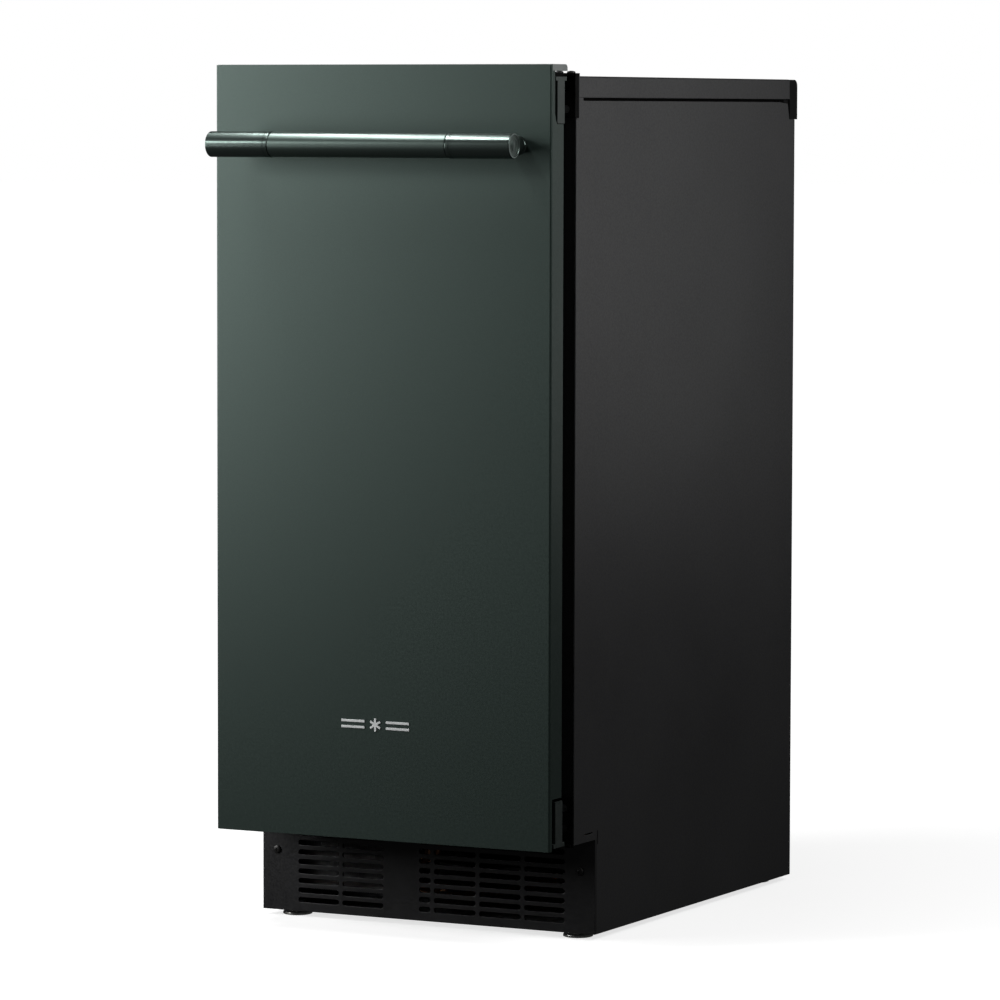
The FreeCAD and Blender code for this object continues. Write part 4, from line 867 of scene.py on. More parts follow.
def ring_of(name, part, count, material, place):
    """A ring of copies about z as one mesh, moved to its place; the part is used up."""
    piece = settled(grown(name, ring_of_copies, {
        "Part": part, "Count": count, "Finish": material}))
    piece.data.transform(place)
    bpy.data.objects.remove(part)
    return piece


def blade(name, root, tip, chord, pitch_root, pitch_tip, camber, gauge, rows=12):
    """A twisted, cambered blade with a rounded tip that stands out along x."""
    work = bmesh.new()
    grid = []
    for i in range(rows + 1):
        share = i / rows
        reach = root + (tip - root) * share
        pitch = math.radians(pitch_root + (pitch_tip - pitch_root) * share)
        round_off = math.sqrt(max(0.0, 1.0 - max(0.0, (share - 0.8) / 0.2) ** 2 * 0.75))
        half = chord * (0.36 + 0.16 * share) * round_off
        row = []
        for k in range(9):
            across = (k / 8 - 0.5) * 2 * half
            rise = camber * (1 - (2 * k / 8 - 1) ** 2)
            row.append(work.verts.new((
                reach, across * math.cos(pitch) - rise * math.sin(pitch),
                across * math.sin(pitch) + rise * math.cos(pitch))))
        grid.append(row)
    for lower, upper in zip(grid, grid[1:]):
        for k in range(8):
            work.faces.new((lower[k], lower[k + 1], upper[k + 1], upper[k]))
    piece = plain_object(name, work)
    thick = piece.modifiers.new("gauge", "SOLIDIFY")
    thick.thickness = gauge
    thick.offset = 0.0
    return settled(piece)


fan_low, fan_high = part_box("fan_blade")
fan_reach = (fan_high.z - fan_low.z) / 2
fan_back = Matrix.Rotation(-math.pi / 2, 4, "X")
fan_middle = at(FAN_X, 177.5, FAN_Z)
vane = blade("fan_vane", 14.0 * MM, fan_reach - 0.3 * MM, 38.0 * MM, 32.0, 20.0,
             2.2 * MM, 1.6 * MM)
vanes = ring_of("fan_vanes", vane, 5, fan_plastic, Matrix.Translation(fan_middle) @ fan_back)
hub = turned("fan_hub", [
    (-8.5 * MM, 3.05 * MM), (-8.5 * MM, 14.5 * MM), (-7.0 * MM, 16.0 * MM),
    (8.0 * MM, 16.0 * MM), (8.5 * MM, 15.5 * MM), (8.5 * MM, 6.0 * MM), (7.0 * MM, 5.0 * MM),
    (7.0 * MM, 3.05 * MM)], fan_middle, REARWARD, ring=True)
fan = eased(joined("cooling_fan", [vanes, hub]), 0.0)
dressed(fan, fan_plastic, "fan", ["fan_blade"])

# ----------------------------------------------------------------- compressor
# A hermetic compressor: two drawn steel cups welded round the middle, enamelled
# black, on a foot plate with rubber grommets, with a clip-on terminal cover.
enamel = finish("black enamel", (0.012, 0.012, 0.013), roughness=0.26, Coat_Weight=0.3,
                Coat_Roughness=0.2)
run_marks = pattern(enamel, "TexNoise", Scale=75.0, Detail=4.0)
tinted(enamel, run_marks, (0.009, 0.009, 0.010), (0.019, 0.019, 0.020))
roughened(enamel, run_marks, 0.20, 0.38)
embossed(enamel, run_marks, 0.12 * MM)
from_design("compressor", "compressor_shell", enamel, ease=0.5)
COMPRESSOR_X, COMPRESSOR_DEPTH = -70.0, 436.0
SEAM_RADIUS, SEAM_HEIGHT, SEAM_RIPPLES = 75.2 * MM, 96.5, 190
bead = turned("bead", [
    (-1.3 * MM, 0.0), *arc(0.0, 0.0, 1.6 * MM, 150.0, 30.0, 4), (1.3 * MM, 0.0)],
    Vector((SEAM_RADIUS, 0.0, 0.0)), (0, 1, 0), steps=8)
weld = ring_of("seam_weld", bead, SEAM_RIPPLES, enamel,
               Matrix.Translation(at(COMPRESSOR_X, COMPRESSOR_DEPTH, SEAM_HEIGHT)))
dressed(eased(weld, 0.0), enamel)

rubber = finish("black rubber", (0.016, 0.016, 0.017), roughness=0.7, Sheen_Weight=0.15)
bloomed = pattern(rubber, "TexNoise", Scale=130.0, Detail=5.0)
tinted(rubber, bloomed, (0.011, 0.011, 0.012), (0.026, 0.026, 0.027))
roughened(rubber, bloomed, 0.60, 0.80)
embossed(rubber, pattern(rubber, "TexNoise", Scale=1600.0), 0.02 * MM)
from_design("compressor_grommets", "compressor_feet", rubber, ease=0.6)

# --------------------------------------------------- refrigerant circuit
# Copper: the filter drier, the feed from the condenser, the hot line and the
# wide suction line that climb the rear wall to the freezing plate.
from_design("filter_drier", "drier", copper, ease=0.5)
lines = bent_tube("copper_lines", [
    ([at(60, 330, 48), at(60, 330, 28), at(30, 200, 24), at(12, 122, 30)],
     3.0 * MM, 9.0 * MM),
    ([at(60, 330, 146), at(60, 330, 193), at(130, 430, 193), at(140, 549, 193),
      at(140, 549, 748), at(84, 549, 748), at(84, 505, 748)], 4.0 * MM, 20.0 * MM),
    ([at(-30, 396, 180), at(-30, 396, 194), at(30, 440, 190), at(122, 549, 190),
      at(122, 549, 772), at(76, 549, 772), at(76, 512, 772)], 3.0 * MM, 6.0 * MM)])
dressed(lines, copper, nodes=["refrigerant_lines"])

# ----------------------------------------------------------------- water inlet
# A solenoid valve of white nylon with a hose thread that passes through the
# rear access panel.
nylon = finish("white nylon", (0.70, 0.70, 0.68), roughness=0.4, Subsurface_Weight=0.08)
tinted(nylon, pattern(nylon, "TexNoise", Scale=60.0, Detail=3.0),
       (0.64, 0.64, 0.61), (0.74, 0.74, 0.72))
roughened(nylon, pattern(nylon, "TexNoise", Scale=500.0), 0.32, 0.50)
embossed(nylon, pattern(nylon, "TexNoise", Scale=1400.0), 0.015 * MM)
from_design("water_inlet_valve", "inlet_valve", nylon, ease=0.4)
thread = [(0.0, 12.6 * MM)]
for turn in range(7):
    thread += [((1.2 + 2.2 * turn) * MM, 12.9 * MM), ((2.0 + 2.2 * turn) * MM, 13.5 * MM),
               ((2.5 + 2.2 * turn) * MM, 13.5 * MM)]
thread += [(17.2 * MM, 12.6 * MM)]
hose_thread = turned("inlet_thread", thread, at(120.0, 561.0, 60.0), REARWARD, ring=True)
dressed(eased(hose_thread, 0.0), nylon)

# -------------------------------------------------------------- freezing plate
# A tilted stainless tray with a copper serpentine clamped under it: water runs
# down it and freezes into a clear slab.
stainless = finish("brushed stainless", (0.63, 0.64, 0.65), metallic=1.0, roughness=0.3)
brushed = pattern(stainless, "TexNoise", (1.0, 34.0, 34.0), Scale=60.0, Detail=5.0)
tinted(stainless, brushed, (0.55, 0.56, 0.57), (0.70, 0.71, 0.72))
roughened(stainless, brushed, 0.22, 0.40)
embossed(stainless, brushed, 0.01 * MM)
from_design("evaporator_plate", "freezing_tray", stainless, ease=0.3)

PLATE_TILT = math.radians(10.0)
plate_front = at(0.0, 300.0, 728.0)
plate_place = (Matrix.Translation(plate_front) @ Matrix.Rotation(PLATE_TILT, 4, "X")
               @ Matrix.Translation(-plate_front))
coil_points = to_and_fro(-122.0, 74.0, [(322.0 + 30.0 * i, 723.9) for i in range(6)])
plate_coil = bent_tube("plate_coil", [
    ([plate_place @ point for point in coil_points], 4.0 * MM, 14.9 * MM)])
dressed(plate_coil, copper, nodes=["evaporator_coil"])

# ------------------------------------------------------- water over the plate
# Pan, circulation pump with its impeller, clear hose and the distributor whose
# row of jets wets the top of the freezing plate.
from_design("water_distributor", "distributor_tube", deck_plastic, ease=0.2)
from_design("water_pan", "sump_pan", deck_plastic, ease=0.7)
from_design("water_pump", "circulation_pump", motor_paint, ease=0.4)

PUMP_X, PUMP_DEPTH = 120.0, 396.0
pump_low, pump_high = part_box("pump_impeller")
pump_foot = at(PUMP_X, PUMP_DEPTH, 0.0)
pump_foot.z = pump_low.z
paddle = blade("paddle", 3.6 * MM, 13.4 * MM, 9.6 * MM, 90.0, 90.0, 0.8 * MM, 1.2 * MM, 6)
paddle.data.transform(Matrix.Translation((0.0, 0.0, 5.9 * MM)))
paddles = ring_of("paddles", paddle, 6, fan_plastic, Matrix.Translation(pump_foot))
rotor = turned("rotor", [
    (0.0, 0.0), (0.0, 14.0 * MM), (1.2 * MM, 14.0 * MM), (1.6 * MM, 13.6 * MM),
    (1.6 * MM, 5.4 * MM), (2.0 * MM, 5.0 * MM), (11.6 * MM, 5.0 * MM), (12.0 * MM, 4.6 * MM),
    (12.0 * MM, 2.5 * MM), (pump_high.z - pump_low.z - 0.4 * MM, 2.5 * MM),
    (pump_high.z - pump_low.z, 2.1 * MM), (pump_high.z - pump_low.z, 0.0)], pump_foot)
impeller = eased(joined("pump_rotor_wheel", [paddles, rotor]), 0.0)
dressed(impeller, fan_plastic, "pump_rotor", ["pump_impeller"])

vinyl = finish("clear vinyl hose", (0.72, 0.76, 0.78), roughness=0.2,
               Transmission_Weight=0.55, IOR=1.45)
cloud = pattern(vinyl, "TexNoise", Scale=110.0, Detail=3.0)
tinted(vinyl, cloud, (0.64, 0.69, 0.72), (0.80, 0.83, 0.85))
roughened(vinyl, cloud, 0.14, 0.30)
hose = bent_tube("pump_tube", [
    ([at(PUMP_X, 426.0, 652.0), at(PUMP_X, 462.0, 652.0), at(PUMP_X, 462.0, 792.0),
      at(PUMP_X, 486.0, 792.0), at(96.0, 486.0, 792.0)], 6.0 * MM, 11.5 * MM)], 24)
dressed(hose, vinyl, nodes=["pump_hose"])

# ---------------------------------------------------------------- cutter grid
# A sloping moulded frame strung with two layers of stainless wire that warm up
# and melt the slab into cubes.
from_design("cutter_grid_frame", "grid_frame", deck_plastic, ease=0.6)


def wires_tree():
    """Two crossing layers of straight round wires."""
    tree, source = tree_named("cutter wires", {
        "Across count": "Int", "Across pitch": "Float", "Across length": "Float",
        "Along count": "Int", "Along pitch": "Float", "Along length": "Float",
        "Layer gap": "Float", "Wire radius": "Float", "Finish": "Material"})
    ring = step(tree, "GeometryNodeCurvePrimitiveCircle", {
        "Radius": source.outputs["Wire radius"]}, Resolution=10)
    layers = tree.nodes.new("GeometryNodeJoinGeometry")
    for label, long_axis, spread_axis in (("Across", "X", "Y"), ("Along", "Y", "X")):
        half = worked_out(tree, "MULTIPLY", source.outputs[label + " length"], 0.5)
        back = worked_out(tree, "MULTIPLY", half, -1.0)
        start = step(tree, "ShaderNodeCombineXYZ", {long_axis: back})
        end = step(tree, "ShaderNodeCombineXYZ", {long_axis: half})
        wire = step(tree, "GeometryNodeCurvePrimitiveLine", {
            "Start": start.outputs[0], "End": end.outputs[0]})
        gaps = worked_out(tree, "SUBTRACT", source.outputs[label + " count"], 1.0)
        reach = worked_out(tree, "MULTIPLY", gaps, source.outputs[label + " pitch"])
        first = worked_out(tree, "MULTIPLY", reach, -0.5)
        level = {"Z": source.outputs["Layer gap"]} if label == "Across" else {}
        origin = step(tree, "ShaderNodeCombineXYZ", {spread_axis: first, **level})
        pitch = step(tree, "ShaderNodeCombineXYZ", {
            spread_axis: source.outputs[label + " pitch"]})
        line = step(tree, "GeometryNodeMeshLine", {
            "Count": source.outputs[label + " count"], "Start Location": origin.outputs[0],
            "Offset": pitch.outputs[0]})
        spread = step(tree, "GeometryNodeInstanceOnPoints", {
            "Points": line.outputs[0], "Instance": wire.outputs[0]})
        tree.links.new(spread.outputs[0], layers.inputs[0])
    real = step(tree, "GeometryNodeRealizeInstances", {"Geometry": layers.outputs[0]})
    round_wire = step(tree, "GeometryNodeCurveToMesh", {
        "Curve": real.outputs[0], "Profile Curve": ring.outputs[0]})
    round_wire.inputs["Fill Caps"].default_value = True
    finished_tree(tree, source, round_wire.outputs[0])
    return tree


GRID_SPAN, GRID_DEPTH = 282.0 * MM, 168.0 * MM
wires = settled(grown("cutting_wires", wires_tree(), {
    "Across count": 7, "Across pitch": 21.0 * MM, "Across length": GRID_SPAN,
    "Along count": 12, "Along pitch": GRID_SPAN / 13, "Along length": GRID_DEPTH,
    "Layer gap": 4.0 * MM, "Wire radius": 0.8 * MM, "Finish": stainless}))
grid_front = at(0.0, 96.0, 668.0)
wires.data.transform(
    Matrix.Translation(grid_front) @ Matrix.Rotation(PLATE_TILT, 4, "X")
    @ Matrix.Translation((0.0, 93.0 * MM, 6.5 * MM)))
dressed(eased(wires, 0.0), stainless, nodes=["cutter_grid_wires"])

# ------------------------------------------------------------------- controls
# A moulded box at the top of the bin with two buttons, a smoked display lens
# and the circuit board behind them.
housing = finish("grey control housing", (0.40, 0.42, 0.44), roughness=0.5)
texture = pattern(housing, "TexVoronoi", Scale=1300.0)
tinted(housing, pattern(housing, "TexNoise", Scale=22.0, Detail=4.0),
       (0.36, 0.38, 0.40), (0.44, 0.46, 0.48))
roughened(housing, texture, 0.42, 0.58, 0.0, 0.8)
embossed(housing, texture, 0.03 * MM)
from_design("control_housing", "control_box", housing, ease=0.6)

lens = finish("smoked lens", (0.020, 0.022, 0.026), roughness=0.08, Coat_Weight=0.6,
              Coat_Roughness=0.05)
haze = pattern(lens, "TexNoise", Scale=60.0, Detail=3.0)
tinted(lens, haze, (0.015, 0.017, 0.021), (0.028, 0.030, 0.034))
roughened(lens, haze, 0.05, 0.14)
from_design("display_lens", "display_window", lens, ease=0.4)

board = finish("green circuit board", (0.02, 0.15, 0.065), roughness=0.35)
tracks = pattern(board, "TexBrick", Scale=130.0)
tinted(board, tracks, (0.014, 0.11, 0.05), (0.03, 0.20, 0.09), 0.2, 0.8)
roughened(board, pattern(board, "TexNoise", Scale=200.0), 0.28, 0.45)
from_design("control_board", "circuit_board", board, ease=0.2)

key_plastic = finish("dark key moulding", (0.10, 0.11, 0.12), roughness=0.35)
key_grain = pattern(key_plastic, "TexNoise", Scale=1500.0)
tinted(key_plastic, pattern(key_plastic, "TexNoise", Scale=80.0),
       (0.085, 0.095, 0.105), (0.12, 0.13, 0.14))
roughened(key_plastic, key_grain, 0.28, 0.44)
embossed(key_plastic, key_grain, 0.015 * MM)
key_print = finish("pale key print", (0.72, 0.75, 0.76), roughness=0.5)
roughened(key_print, pattern(key_print, "TexNoise", Scale=900.0), 0.42, 0.6)


def printed_stroke(name, points, width, closed=False):
    """A thin raised print line through (x, z) points, facing the front at y = 0."""
    work = bmesh.new()
    count = len(points)
    rings = []
    for i, (x, z) in enumerate(points):
        before = points[i - 1] if closed or i else points[0]
        after = points[(i + 1) % count] if closed or i < count - 1 else points[-1]
        along = Vector((after[0] - before[0], after[1] - before[1])).normalized()
        side = Vector((-along.y, along.x)) * width / 2
        corners = [(x + side.x, z + side.y), (x - side.x, z - side.y)]
        rings.append([work.verts.new((cx, y, cz)) for y in (0.0, 0.3 * MM)
                      for cx, cz in corners])
    pairs = list(zip(rings, rings[1:])) + ([(rings[-1], rings[0])] if closed else [])
    for a, b in pairs:
        for i, j in ((0, 1), (1, 3), (3, 2), (2, 0)):
            work.faces.new((a[i], a[j], b[j], b[i]))
    if not closed:
        for end in (rings[0], rings[-1]):
            work.faces.new((end[0], end[1], end[3], end[2]))
    bmesh.ops.recalc_face_normals(work, faces=work.faces)
    return plain_object(name, work)


def round_points(radius, start, end, steps):
    turns = [math.radians(start + (end - start) * i / steps) for i in range(steps + 1)]
    return [(radius * math.cos(a), radius * math.sin(a)) for a in turns]


power_mark = [
    printed_stroke("ring", round_points(3.4 * MM, 125.0, 415.0, 28), 0.7 * MM),
    printed_stroke("bar", [(0.0, 0.9 * MM), (0.0, 4.2 * MM)], 0.7 * MM)]
drop_outline = [(0.0, 4.6 * MM)] + round_points(2.9 * MM, 20.0, -200.0, 24)
drop_mark = [printed_stroke("drop", [(x, z - 0.8 * MM) for x, z in drop_outline],
                            0.7 * MM, closed=True)]
for node_name, body, mark in (("power_button", "power_key", power_mark),
                              ("clean_button", "clean_key", drop_mark)):
    low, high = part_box(node_name)
    from_design(node_name, node_name.replace("button", "key"), key_plastic,
                body, ease=0.15)
    symbol = joined(body + "_mark", mark)
    symbol.data.transform(Matrix.Translation((
        (low.x + high.x) / 2, low.y - 0.06 * MM, (low.z + high.z) / 2)))
    dressed(symbol, key_print, body)

low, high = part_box("display_lens")
indicator = finish("indicator print", (0.30, 0.62, 0.70), roughness=0.45)
roughened(indicator, pattern(indicator, "TexNoise", Scale=900.0), 0.38, 0.55)
dots = []
for i in range(4):
    dots.append(turned("dot", [
        (-0.1 * MM, 0.0), (-0.1 * MM, 1.5 * MM), (0.05 * MM, 1.5 * MM), (0.12 * MM, 1.2 * MM),
        (0.12 * MM, 0.0)],
        Vector((low.x + (14.0 + 14.6 * i) * MM, low.y, (low.z + high.z) / 2)), FORWARD, 20))
dressed(joined("indicator_dots", dots), indicator)

# ------------------------------------------------------------------ ice scoop
# A clear moulded scoop that hangs by its tongue in a white moulded holder on the
# bin's wall and lifts straight off it.
from_design("scoop_holder", "scoop_hanger", deck_plastic, ease=0.5)
scoop_plastic = finish("clear scoop moulding", (0.62, 0.70, 0.76), roughness=0.16,
                       Transmission_Weight=0.35, IOR=1.49)
swirl = pattern(scoop_plastic, "TexNoise", Scale=45.0, Detail=3.0)
tinted(scoop_plastic, swirl, (0.55, 0.64, 0.71), (0.68, 0.75, 0.80))
roughened(scoop_plastic, swirl, 0.10, 0.24)
from_design("ice_scoop", "scoop_shell", scoop_plastic, "scoop", ease=0.8)

# ------------------------------------------------------------------ door skin
# The door's face: one steel sheet folded back along both long edges and notched
# for the hinges.  Sprayed satin dark green with fine metal flake in it.
door_paint = finish("dark green flake paint", (0.030, 0.047, 0.041), metallic=0.6,
                    roughness=0.40, Specular_IOR_Level=0.5)
flake = pattern(door_paint, "TexVoronoi", Scale=2600.0)
tinted(door_paint, flake, (0.025, 0.039, 0.034), (0.041, 0.062, 0.054), 0.0, 0.9)
door_peel = pattern(door_paint, "TexNoise", Scale=420.0, Detail=2.0)
roughened(door_paint, door_peel, 0.36, 0.44)
embossed(door_paint, door_peel, 0.006 * MM)
from_design("door_skin", "door_face", door_paint, "door", ease=0.25)

# -------------------------------------------------------------- door end caps
# Moulded caps close the folded skin at the top and bottom and hold the pockets
# that the hinge brackets turn in.
cap_plastic = finish("moulded door cap", (0.150, 0.165, 0.160), roughness=0.42)
cap_grain = pattern(cap_plastic, "TexNoise", Scale=900.0)
tinted(cap_plastic, pattern(cap_plastic, "TexNoise", Scale=50.0, Detail=3.0),
       (0.130, 0.145, 0.140), (0.175, 0.190, 0.184))
roughened(cap_plastic, cap_grain, 0.34, 0.50)
embossed(cap_plastic, cap_grain, 0.02 * MM)
from_design("door_cap_top", "top_cap", cap_plastic, "door", ease=0.4)
from_design("door_cap_bottom", "bottom_cap", cap_plastic, "door", ease=0.4)

# --------------------------------------------------------------- hinge strips
# Painted steel strips in the door's edge, each with a ledge and the bush that
# runs on the hinge pin.
strip_metal = finish("painted hinge strip", (0.040, 0.050, 0.047), metallic=0.4,
                     roughness=0.42)
strip_grain = pattern(strip_metal, "TexNoise", Scale=260.0, Detail=4.0)
tinted(strip_metal, strip_grain, (0.032, 0.041, 0.038), (0.050, 0.061, 0.057))
roughened(strip_metal, strip_grain, 0.34, 0.52)
from_design("door_hinge_strips", "hinge_strips", strip_metal, "door", ease=0.3)

# ------------------------------------------------------ door foam and liner
# A core of graphite-grey bead foam, cut to shape, fills the door between the
# skin and a white thermoformed liner whose raised panel reaches into the bin's
# mouth.
core_foam = finish("graphite bead foam", (0.020, 0.022, 0.023), roughness=0.85,
                   Specular_IOR_Level=0.1)
tinted(core_foam, pattern(core_foam, "TexVoronoi", Scale=320.0, Randomness=1.0),
       (0.016, 0.017, 0.018), (0.027, 0.029, 0.030))
from_design("door_insulation", "door_foam", core_foam, "door", ease=0.8)
from_design("door_liner", "door_inner_panel", liner_white, "door", ease=0.7)


# ---------------------------------------------------------------- door gasket
# A black rubber bellows with a magnetic strip in its nose, pushed into the door
# liner all round and mitred at the corners.
def framed(name, section, low_x, high_x, low_z, high_z, corner, corner_steps=6):
    """A closed section of (outward, depth) points carried round a rectangle."""
    work = bmesh.new()
    rings = []
    for cx, cz, start in ((high_x, high_z, 0.0), (low_x, high_z, 90.0),
                          (low_x, low_z, 180.0), (high_x, low_z, 270.0)):
        middle_x = cx - math.copysign(corner, cx - (low_x + high_x) / 2)
        middle_z = cz - math.copysign(corner, cz - (low_z + high_z) / 2)
        for i in range(corner_steps + 1):
            a = math.radians(start + 90.0 * i / corner_steps)
            rings.append([work.verts.new((
                middle_x + (corner + out) * math.cos(a), depth,
                middle_z + (corner + out) * math.sin(a))) for out, depth in section])
    for ring, following in zip(rings, rings[1:] + rings[:1]):
        for i in range(len(section)):
            j = (i + 1) % len(section)
            work.faces.new((ring[i], ring[j], following[j], following[i]))
    bmesh.ops.recalc_face_normals(work, faces=work.faces)
    return plain_object(name, work)


low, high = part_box("door_gasket")
GASKET_WIDTH, GASKET_FOOT, GASKET_RISE = 17.0 * MM, 2.0 * MM, 14.3
inset = GASKET_FOOT + GASKET_WIDTH
nose = high.y
profile = [(-0.5, 0.0), (17.5, 0.0), (18.4, 0.8), (18.4, 3.6), (17.6, 4.4), (15.2, 4.8),
           (16.6, 6.0), (17.0, 7.4), (15.6, 8.6), (16.6, 9.6), (17.0, 11.0), (17.0, 12.6),
           (16.2, 13.9), (14.6, 14.3), (3.4, 14.3), (2.0, 13.9), (1.2, 12.6), (1.2, 11.0),
           (2.6, 9.6), (1.4, 8.4), (1.0, 7.2), (1.6, 6.0), (3.0, 4.9), (0.6, 4.4),
           (-0.5, 3.4)]
seal = framed(
    "door_seal", [(out * MM, nose - (GASKET_RISE - depth) * MM) for out, depth in profile],
    low.x + inset, high.x - inset, low.z + inset, high.z - inset, 3.0 * MM)
dressed(eased(seal, 0.0, crease=50.0), rubber, "door", ["door_gasket"])

# ----------------------------------------------------------------- door handle
# A one inch steel bar between two slip-on end sleeves.  The bar and the discs in
# the sleeves' ends are sprayed satin; the sleeves and the posts that hold them
# off the door are polished before paint.
handle_satin = finish("satin handle paint", (0.060, 0.082, 0.074), metallic=0.8,
                      roughness=0.27)
spray = pattern(handle_satin, "TexNoise", Scale=1400.0, Detail=2.0)
tinted(handle_satin, pattern(handle_satin, "TexVoronoi", Scale=3000.0),
       (0.052, 0.072, 0.064), (0.070, 0.094, 0.085), 0.0, 0.9)
roughened(handle_satin, spray, 0.30, 0.34)

handle_gloss = finish("polished handle paint", (0.090, 0.118, 0.108), metallic=0.9,
                      roughness=0.22)
lathe_marks = pattern(handle_gloss, "TexNoise", Scale=1600.0, Detail=2.0)
tinted(handle_gloss, lathe_marks, (0.082, 0.108, 0.099), (0.098, 0.128, 0.117))
roughened(handle_gloss, lathe_marks, 0.22, 0.25)

bar_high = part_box("handle_bar")[1]
sleeve_low, sleeve_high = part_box("handle_sleeves")
HANDLE_RADIUS = (sleeve_high.z - sleeve_low.z) / 2
handle_axis = Vector((0.0, (sleeve_low.y + sleeve_high.y) / 2, (sleeve_low.z + sleeve_high.z) / 2))
handle_half = sleeve_high.x
TENON = 12.0 * MM
bar_half = bar_high.x - TENON
bar_radius = HANDLE_RADIUS - 0.35 * MM
end_steps = arc(bar_half - 0.6 * MM, bar_radius - 0.6 * MM, 0.6 * MM, 90.0, 0.0)
half_bar = end_steps + [(bar_half, 8.0 * MM), (bar_half + TENON - 0.5 * MM, 8.0 * MM),
                        (bar_half + TENON, 7.5 * MM), (bar_half + TENON, 0.0)]
bar_profile = [(-along, radius) for along, radius in reversed(half_bar)] + half_bar
bar = turned("grip_bar", bar_profile, handle_axis, (1, 0, 0), 72)
dressed(eased(bar, 0.0), handle_satin, "door", ["handle_bar"])

SLEEVE = handle_half - bar_half
RECESS = 1.2 * MM
sleeve_profile = [(0.4 * MM, 8.05 * MM), (0.4 * MM, HANDLE_RADIUS - 0.9 * MM)]
sleeve_profile += arc(1.1 * MM, HANDLE_RADIUS - 0.7 * MM, 0.7 * MM, 180.0, 90.0)
for groove in (4.2, 5.6):
    sleeve_profile += [((groove - 0.3) * MM, HANDLE_RADIUS),
                       (groove * MM, HANDLE_RADIUS - 0.22 * MM),
                       ((groove + 0.3) * MM, HANDLE_RADIUS)]
sleeve_profile += arc(SLEEVE - 0.9 * MM, HANDLE_RADIUS - 0.9 * MM, 0.9 * MM, 90.0, 0.0)
sleeve_profile += [(SLEEVE, 10.6 * MM), (SLEEVE - 0.3 * MM, 10.25 * MM),
                   (SLEEVE - RECESS, 10.25 * MM), (SLEEVE - RECESS, 0.0)]
sleeve_profile = [(0.4 * MM + TENON, 0.0), (0.4 * MM + TENON, 8.05 * MM)] + sleeve_profile
POST_X = 150.0 * MM
sleeves, discs, posts = [], [], []
for side in (-1, 1):
    joint = handle_axis + Vector((side * bar_half, 0.0, 0.0))
    sleeves.append(turned("sleeve", sleeve_profile, joint, (side, 0, 0), 72))
    disc_profile = [(-1.2, 0.0), (-1.2, 10.2), (-0.45, 10.2), (-0.3, 10.0), (-0.3, 9.1),
                    (-0.7, 8.8), (-0.7, 7.2), (-0.45, 6.95), (-0.45, 6.5), (-0.75, 6.2),
                    (-0.75, 5.4), (-0.35, 5.0), (-0.1, 3.6), (0.1, 1.8), (0.15, 0.0)]
    face = handle_axis + Vector((side * handle_half, 0.0, 0.0))
    discs.append(turned("disc", [(a * MM, r * MM) for a, r in disc_profile], face,
                        (side, 0, 0), 72))
    post_start = handle_axis + Vector((side * POST_X, 0.0, 0.0))
    reach = door_front - handle_axis.y
    posts.append(turned("post", [
        (4.0 * MM, 0.0), (4.0 * MM, 8.2 * MM), (HANDLE_RADIUS + 1.4 * MM, 8.2 * MM),
        *arc(HANDLE_RADIUS + 2.4 * MM, 8.5 * MM, 1.0 * MM, 180.0, 90.0),
        (reach - 1.2 * MM, 8.5 * MM), (reach - 0.7 * MM, 8.8 * MM), (reach, 9.6 * MM),
        (reach, 0.0),
    ], post_start, REARWARD, 56))
dressed(eased(joined("end_sleeves", sleeves), 0.0), handle_gloss, "door",
        ["handle_sleeves"])
dressed(eased(joined("end_discs", discs), 0.0), handle_satin, "door",
        ["handle_medallions"])
dressed(eased(joined("handle_posts", posts), 0.0), handle_gloss, "door",
        ["handle_standoffs"])

# ---------------------------------------------------------------- door emblem
# A plain frost star between two pairs of short bars, stamped from satin
# aluminium and stuck to the door's face.
emblem_metal = finish("satin emblem metal", (0.78, 0.80, 0.80), metallic=0.5, roughness=0.4)
stamped = pattern(emblem_metal, "TexNoise", (1.0, 1.0, 9.0), Scale=900.0)
tinted(emblem_metal, stamped, (0.74, 0.76, 0.76), (0.84, 0.86, 0.86))
roughened(emblem_metal, stamped, 0.34, 0.48)
from_design("door_emblem", "frost_emblem", emblem_metal, "door", ease=0.12)

# --------------------------------------------------------------------- studio
# A plain pale floor in a white room; the floor's glow is painted light, weaker near the machine.
# A wide soft box and a low one above it face the door from the left, one stands on the hinge side,
# a weak one behind lights the door's edge, and a long strip hangs over the handle.
bpy.data.objects.remove(one_screw)

view_settings = bpy.context.scene.view_settings
view_settings.view_transform = "Standard"
view_settings.look = "None"

FLOOR_REACH = 60.0
floor_mesh = bpy.data.meshes.new("studio_floor")
floor_mesh.from_pydata([
    (-FLOOR_REACH, -FLOOR_REACH, 0.0), (FLOOR_REACH, -FLOOR_REACH, 0.0),
    (FLOOR_REACH, FLOOR_REACH, 0.0), (-FLOOR_REACH, FLOOR_REACH, 0.0),
], [], [(0, 1, 2, 3)])
floor = bpy.data.objects.new("studio_floor", floor_mesh)
bpy.context.scene.collection.objects.link(floor)
# The floor's glow is painted light: it shines by itself, like a lamp, on top of the light it takes
# from the lamps.
paper = finish("studio paper painted glow", (0.60, 0.60, 0.60), roughness=1.0, Specular_IOR_Level=0.0)
paper_shader = paper.node_tree.nodes["Principled BSDF"]
paper_shader.inputs["Emission Color"].default_value = (1, 1, 1, 1)
spot = shader_node(paper, "TexCoord")
reach = shader_node(paper, "VectorMath")
reach.operation = "LENGTH"
wired(paper, spot.outputs["Object"], reach.inputs[0])
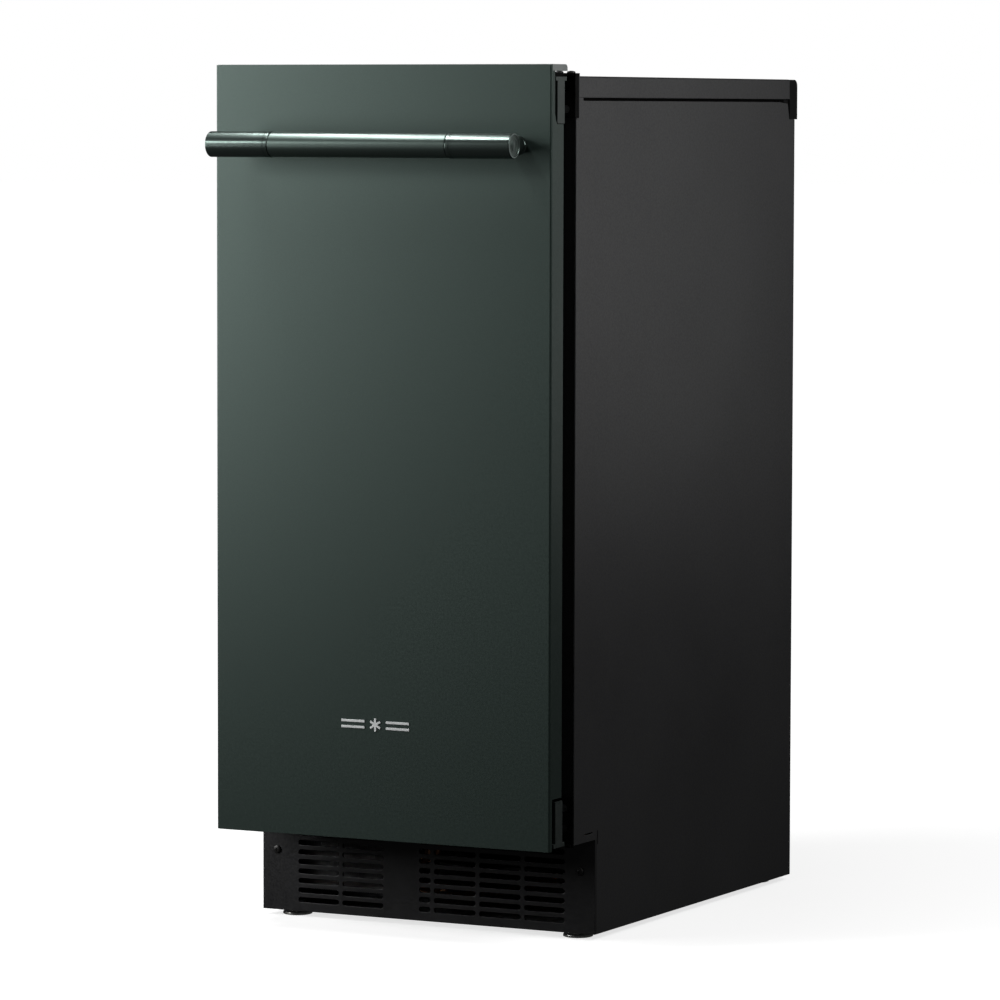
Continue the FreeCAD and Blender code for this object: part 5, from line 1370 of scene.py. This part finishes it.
# Painted light: glow 0.72 near the machine, so lamp shadows still show there, rising to 1.0 far
# off, where the floor fades into the white backdrop.
GLOW_NEAR, GLOW_FAR = 0.72, 1.0
GLOW_START, GLOW_END = 0.3, 1.6
wired(paper, graded(paper, reach.outputs["Value"], GLOW_NEAR, GLOW_FAR, GLOW_START, GLOW_END),
      paper_shader.inputs["Emission Strength"])
floor_mesh.materials.append(paper)
floor.visible_glossy = False
floor.visible_diffuse = False

ROOM_LIGHT = 0.032
world = bpy.data.worlds.new("studio")
bpy.context.scene.world = world
world.use_nodes = True
sky = world.node_tree
backdrop = sky.nodes["Background"]
backdrop.inputs["Color"].default_value = (1.0, 1.0, 1.0, 1.0)
backdrop.inputs["Strength"].default_value = 1.0
room = sky.nodes.new("ShaderNodeBackground")
room.inputs["Color"].default_value = (1.0, 1.0, 1.0, 1.0)
room.inputs["Strength"].default_value = ROOM_LIGHT
seen = sky.nodes.new("ShaderNodeLightPath")
choose = sky.nodes.new("ShaderNodeMixShader")
sky.links.new(seen.outputs["Is Camera Ray"], choose.inputs["Fac"])
sky.links.new(room.outputs[0], choose.inputs[1])
sky.links.new(backdrop.outputs[0], choose.inputs[2])
sky.links.new(choose.outputs[0], sky.nodes["World Output"].inputs["Surface"])


def soft_light(name, place, aim, width, height, power):
    """A rectangular softbox that faces a point."""
    lamp = bpy.data.lights.new(name, "AREA")
    lamp.shape = "RECTANGLE"
    lamp.size, lamp.size_y, lamp.energy = width, height, power
    holder = bpy.data.objects.new(name, lamp)
    holder.location = place
    way = Vector(aim) - Vector(place)
    holder.rotation_euler = way.to_track_quat("-Z", "Y").to_euler()
    bpy.context.scene.collection.objects.link(holder)
    return holder


soft_light("door_box", (-1.30, -1.16, 0.72), (-0.12, -0.26, 0.55), 0.9, 0.7, 17.0)
soft_light("front_box", (-1.10, -1.28, 1.20), (-0.10, -0.28, 0.76), 0.7, 0.25, 8.5)
soft_light("hinge_side_box", (1.10, -0.20, 1.21), (0.19, -0.10, 0.58), 0.5, 0.6, 7.8)
soft_light("edge_box", (0.85, 0.95, 0.85), (0.19, -0.22, 0.55), 0.4, 1.0, 1.1)
soft_light("handle_strip", (-0.41, -0.40, 1.60), (-0.05, -0.31, 0.79), 0.85, 0.08, 13.0)

CAMERA_YAW, CAMERA_PITCH, CAMERA_ROLL = 27.064, 4.209, 0.138
yaw, pitch, roll = (math.radians(a) for a in (CAMERA_YAW, CAMERA_PITCH, CAMERA_ROLL))
forward = Vector((-math.sin(yaw) * math.cos(pitch), math.cos(yaw) * math.cos(pitch),
                  -math.sin(pitch)))
level = Vector((math.cos(yaw), math.sin(yaw), 0.0))
rise = level.cross(forward)
rightward = level * math.cos(roll) + rise * math.sin(roll)
upward = rise * math.cos(roll) - level * math.sin(roll)
lens_data = bpy.data.cameras.new("camera")
lens_data.lens = 190.06
lens_data.sensor_width = 36.0
lens_data.clip_end = 60.0
camera = bpy.data.objects.new("camera", lens_data)
camera.matrix_world = Matrix((rightward, upward, -forward)).transposed().to_4x4()
camera.location = (2.4635, -4.8258, 0.8196)
bpy.context.scene.collection.objects.link(camera)
bpy.context.scene.camera = camera
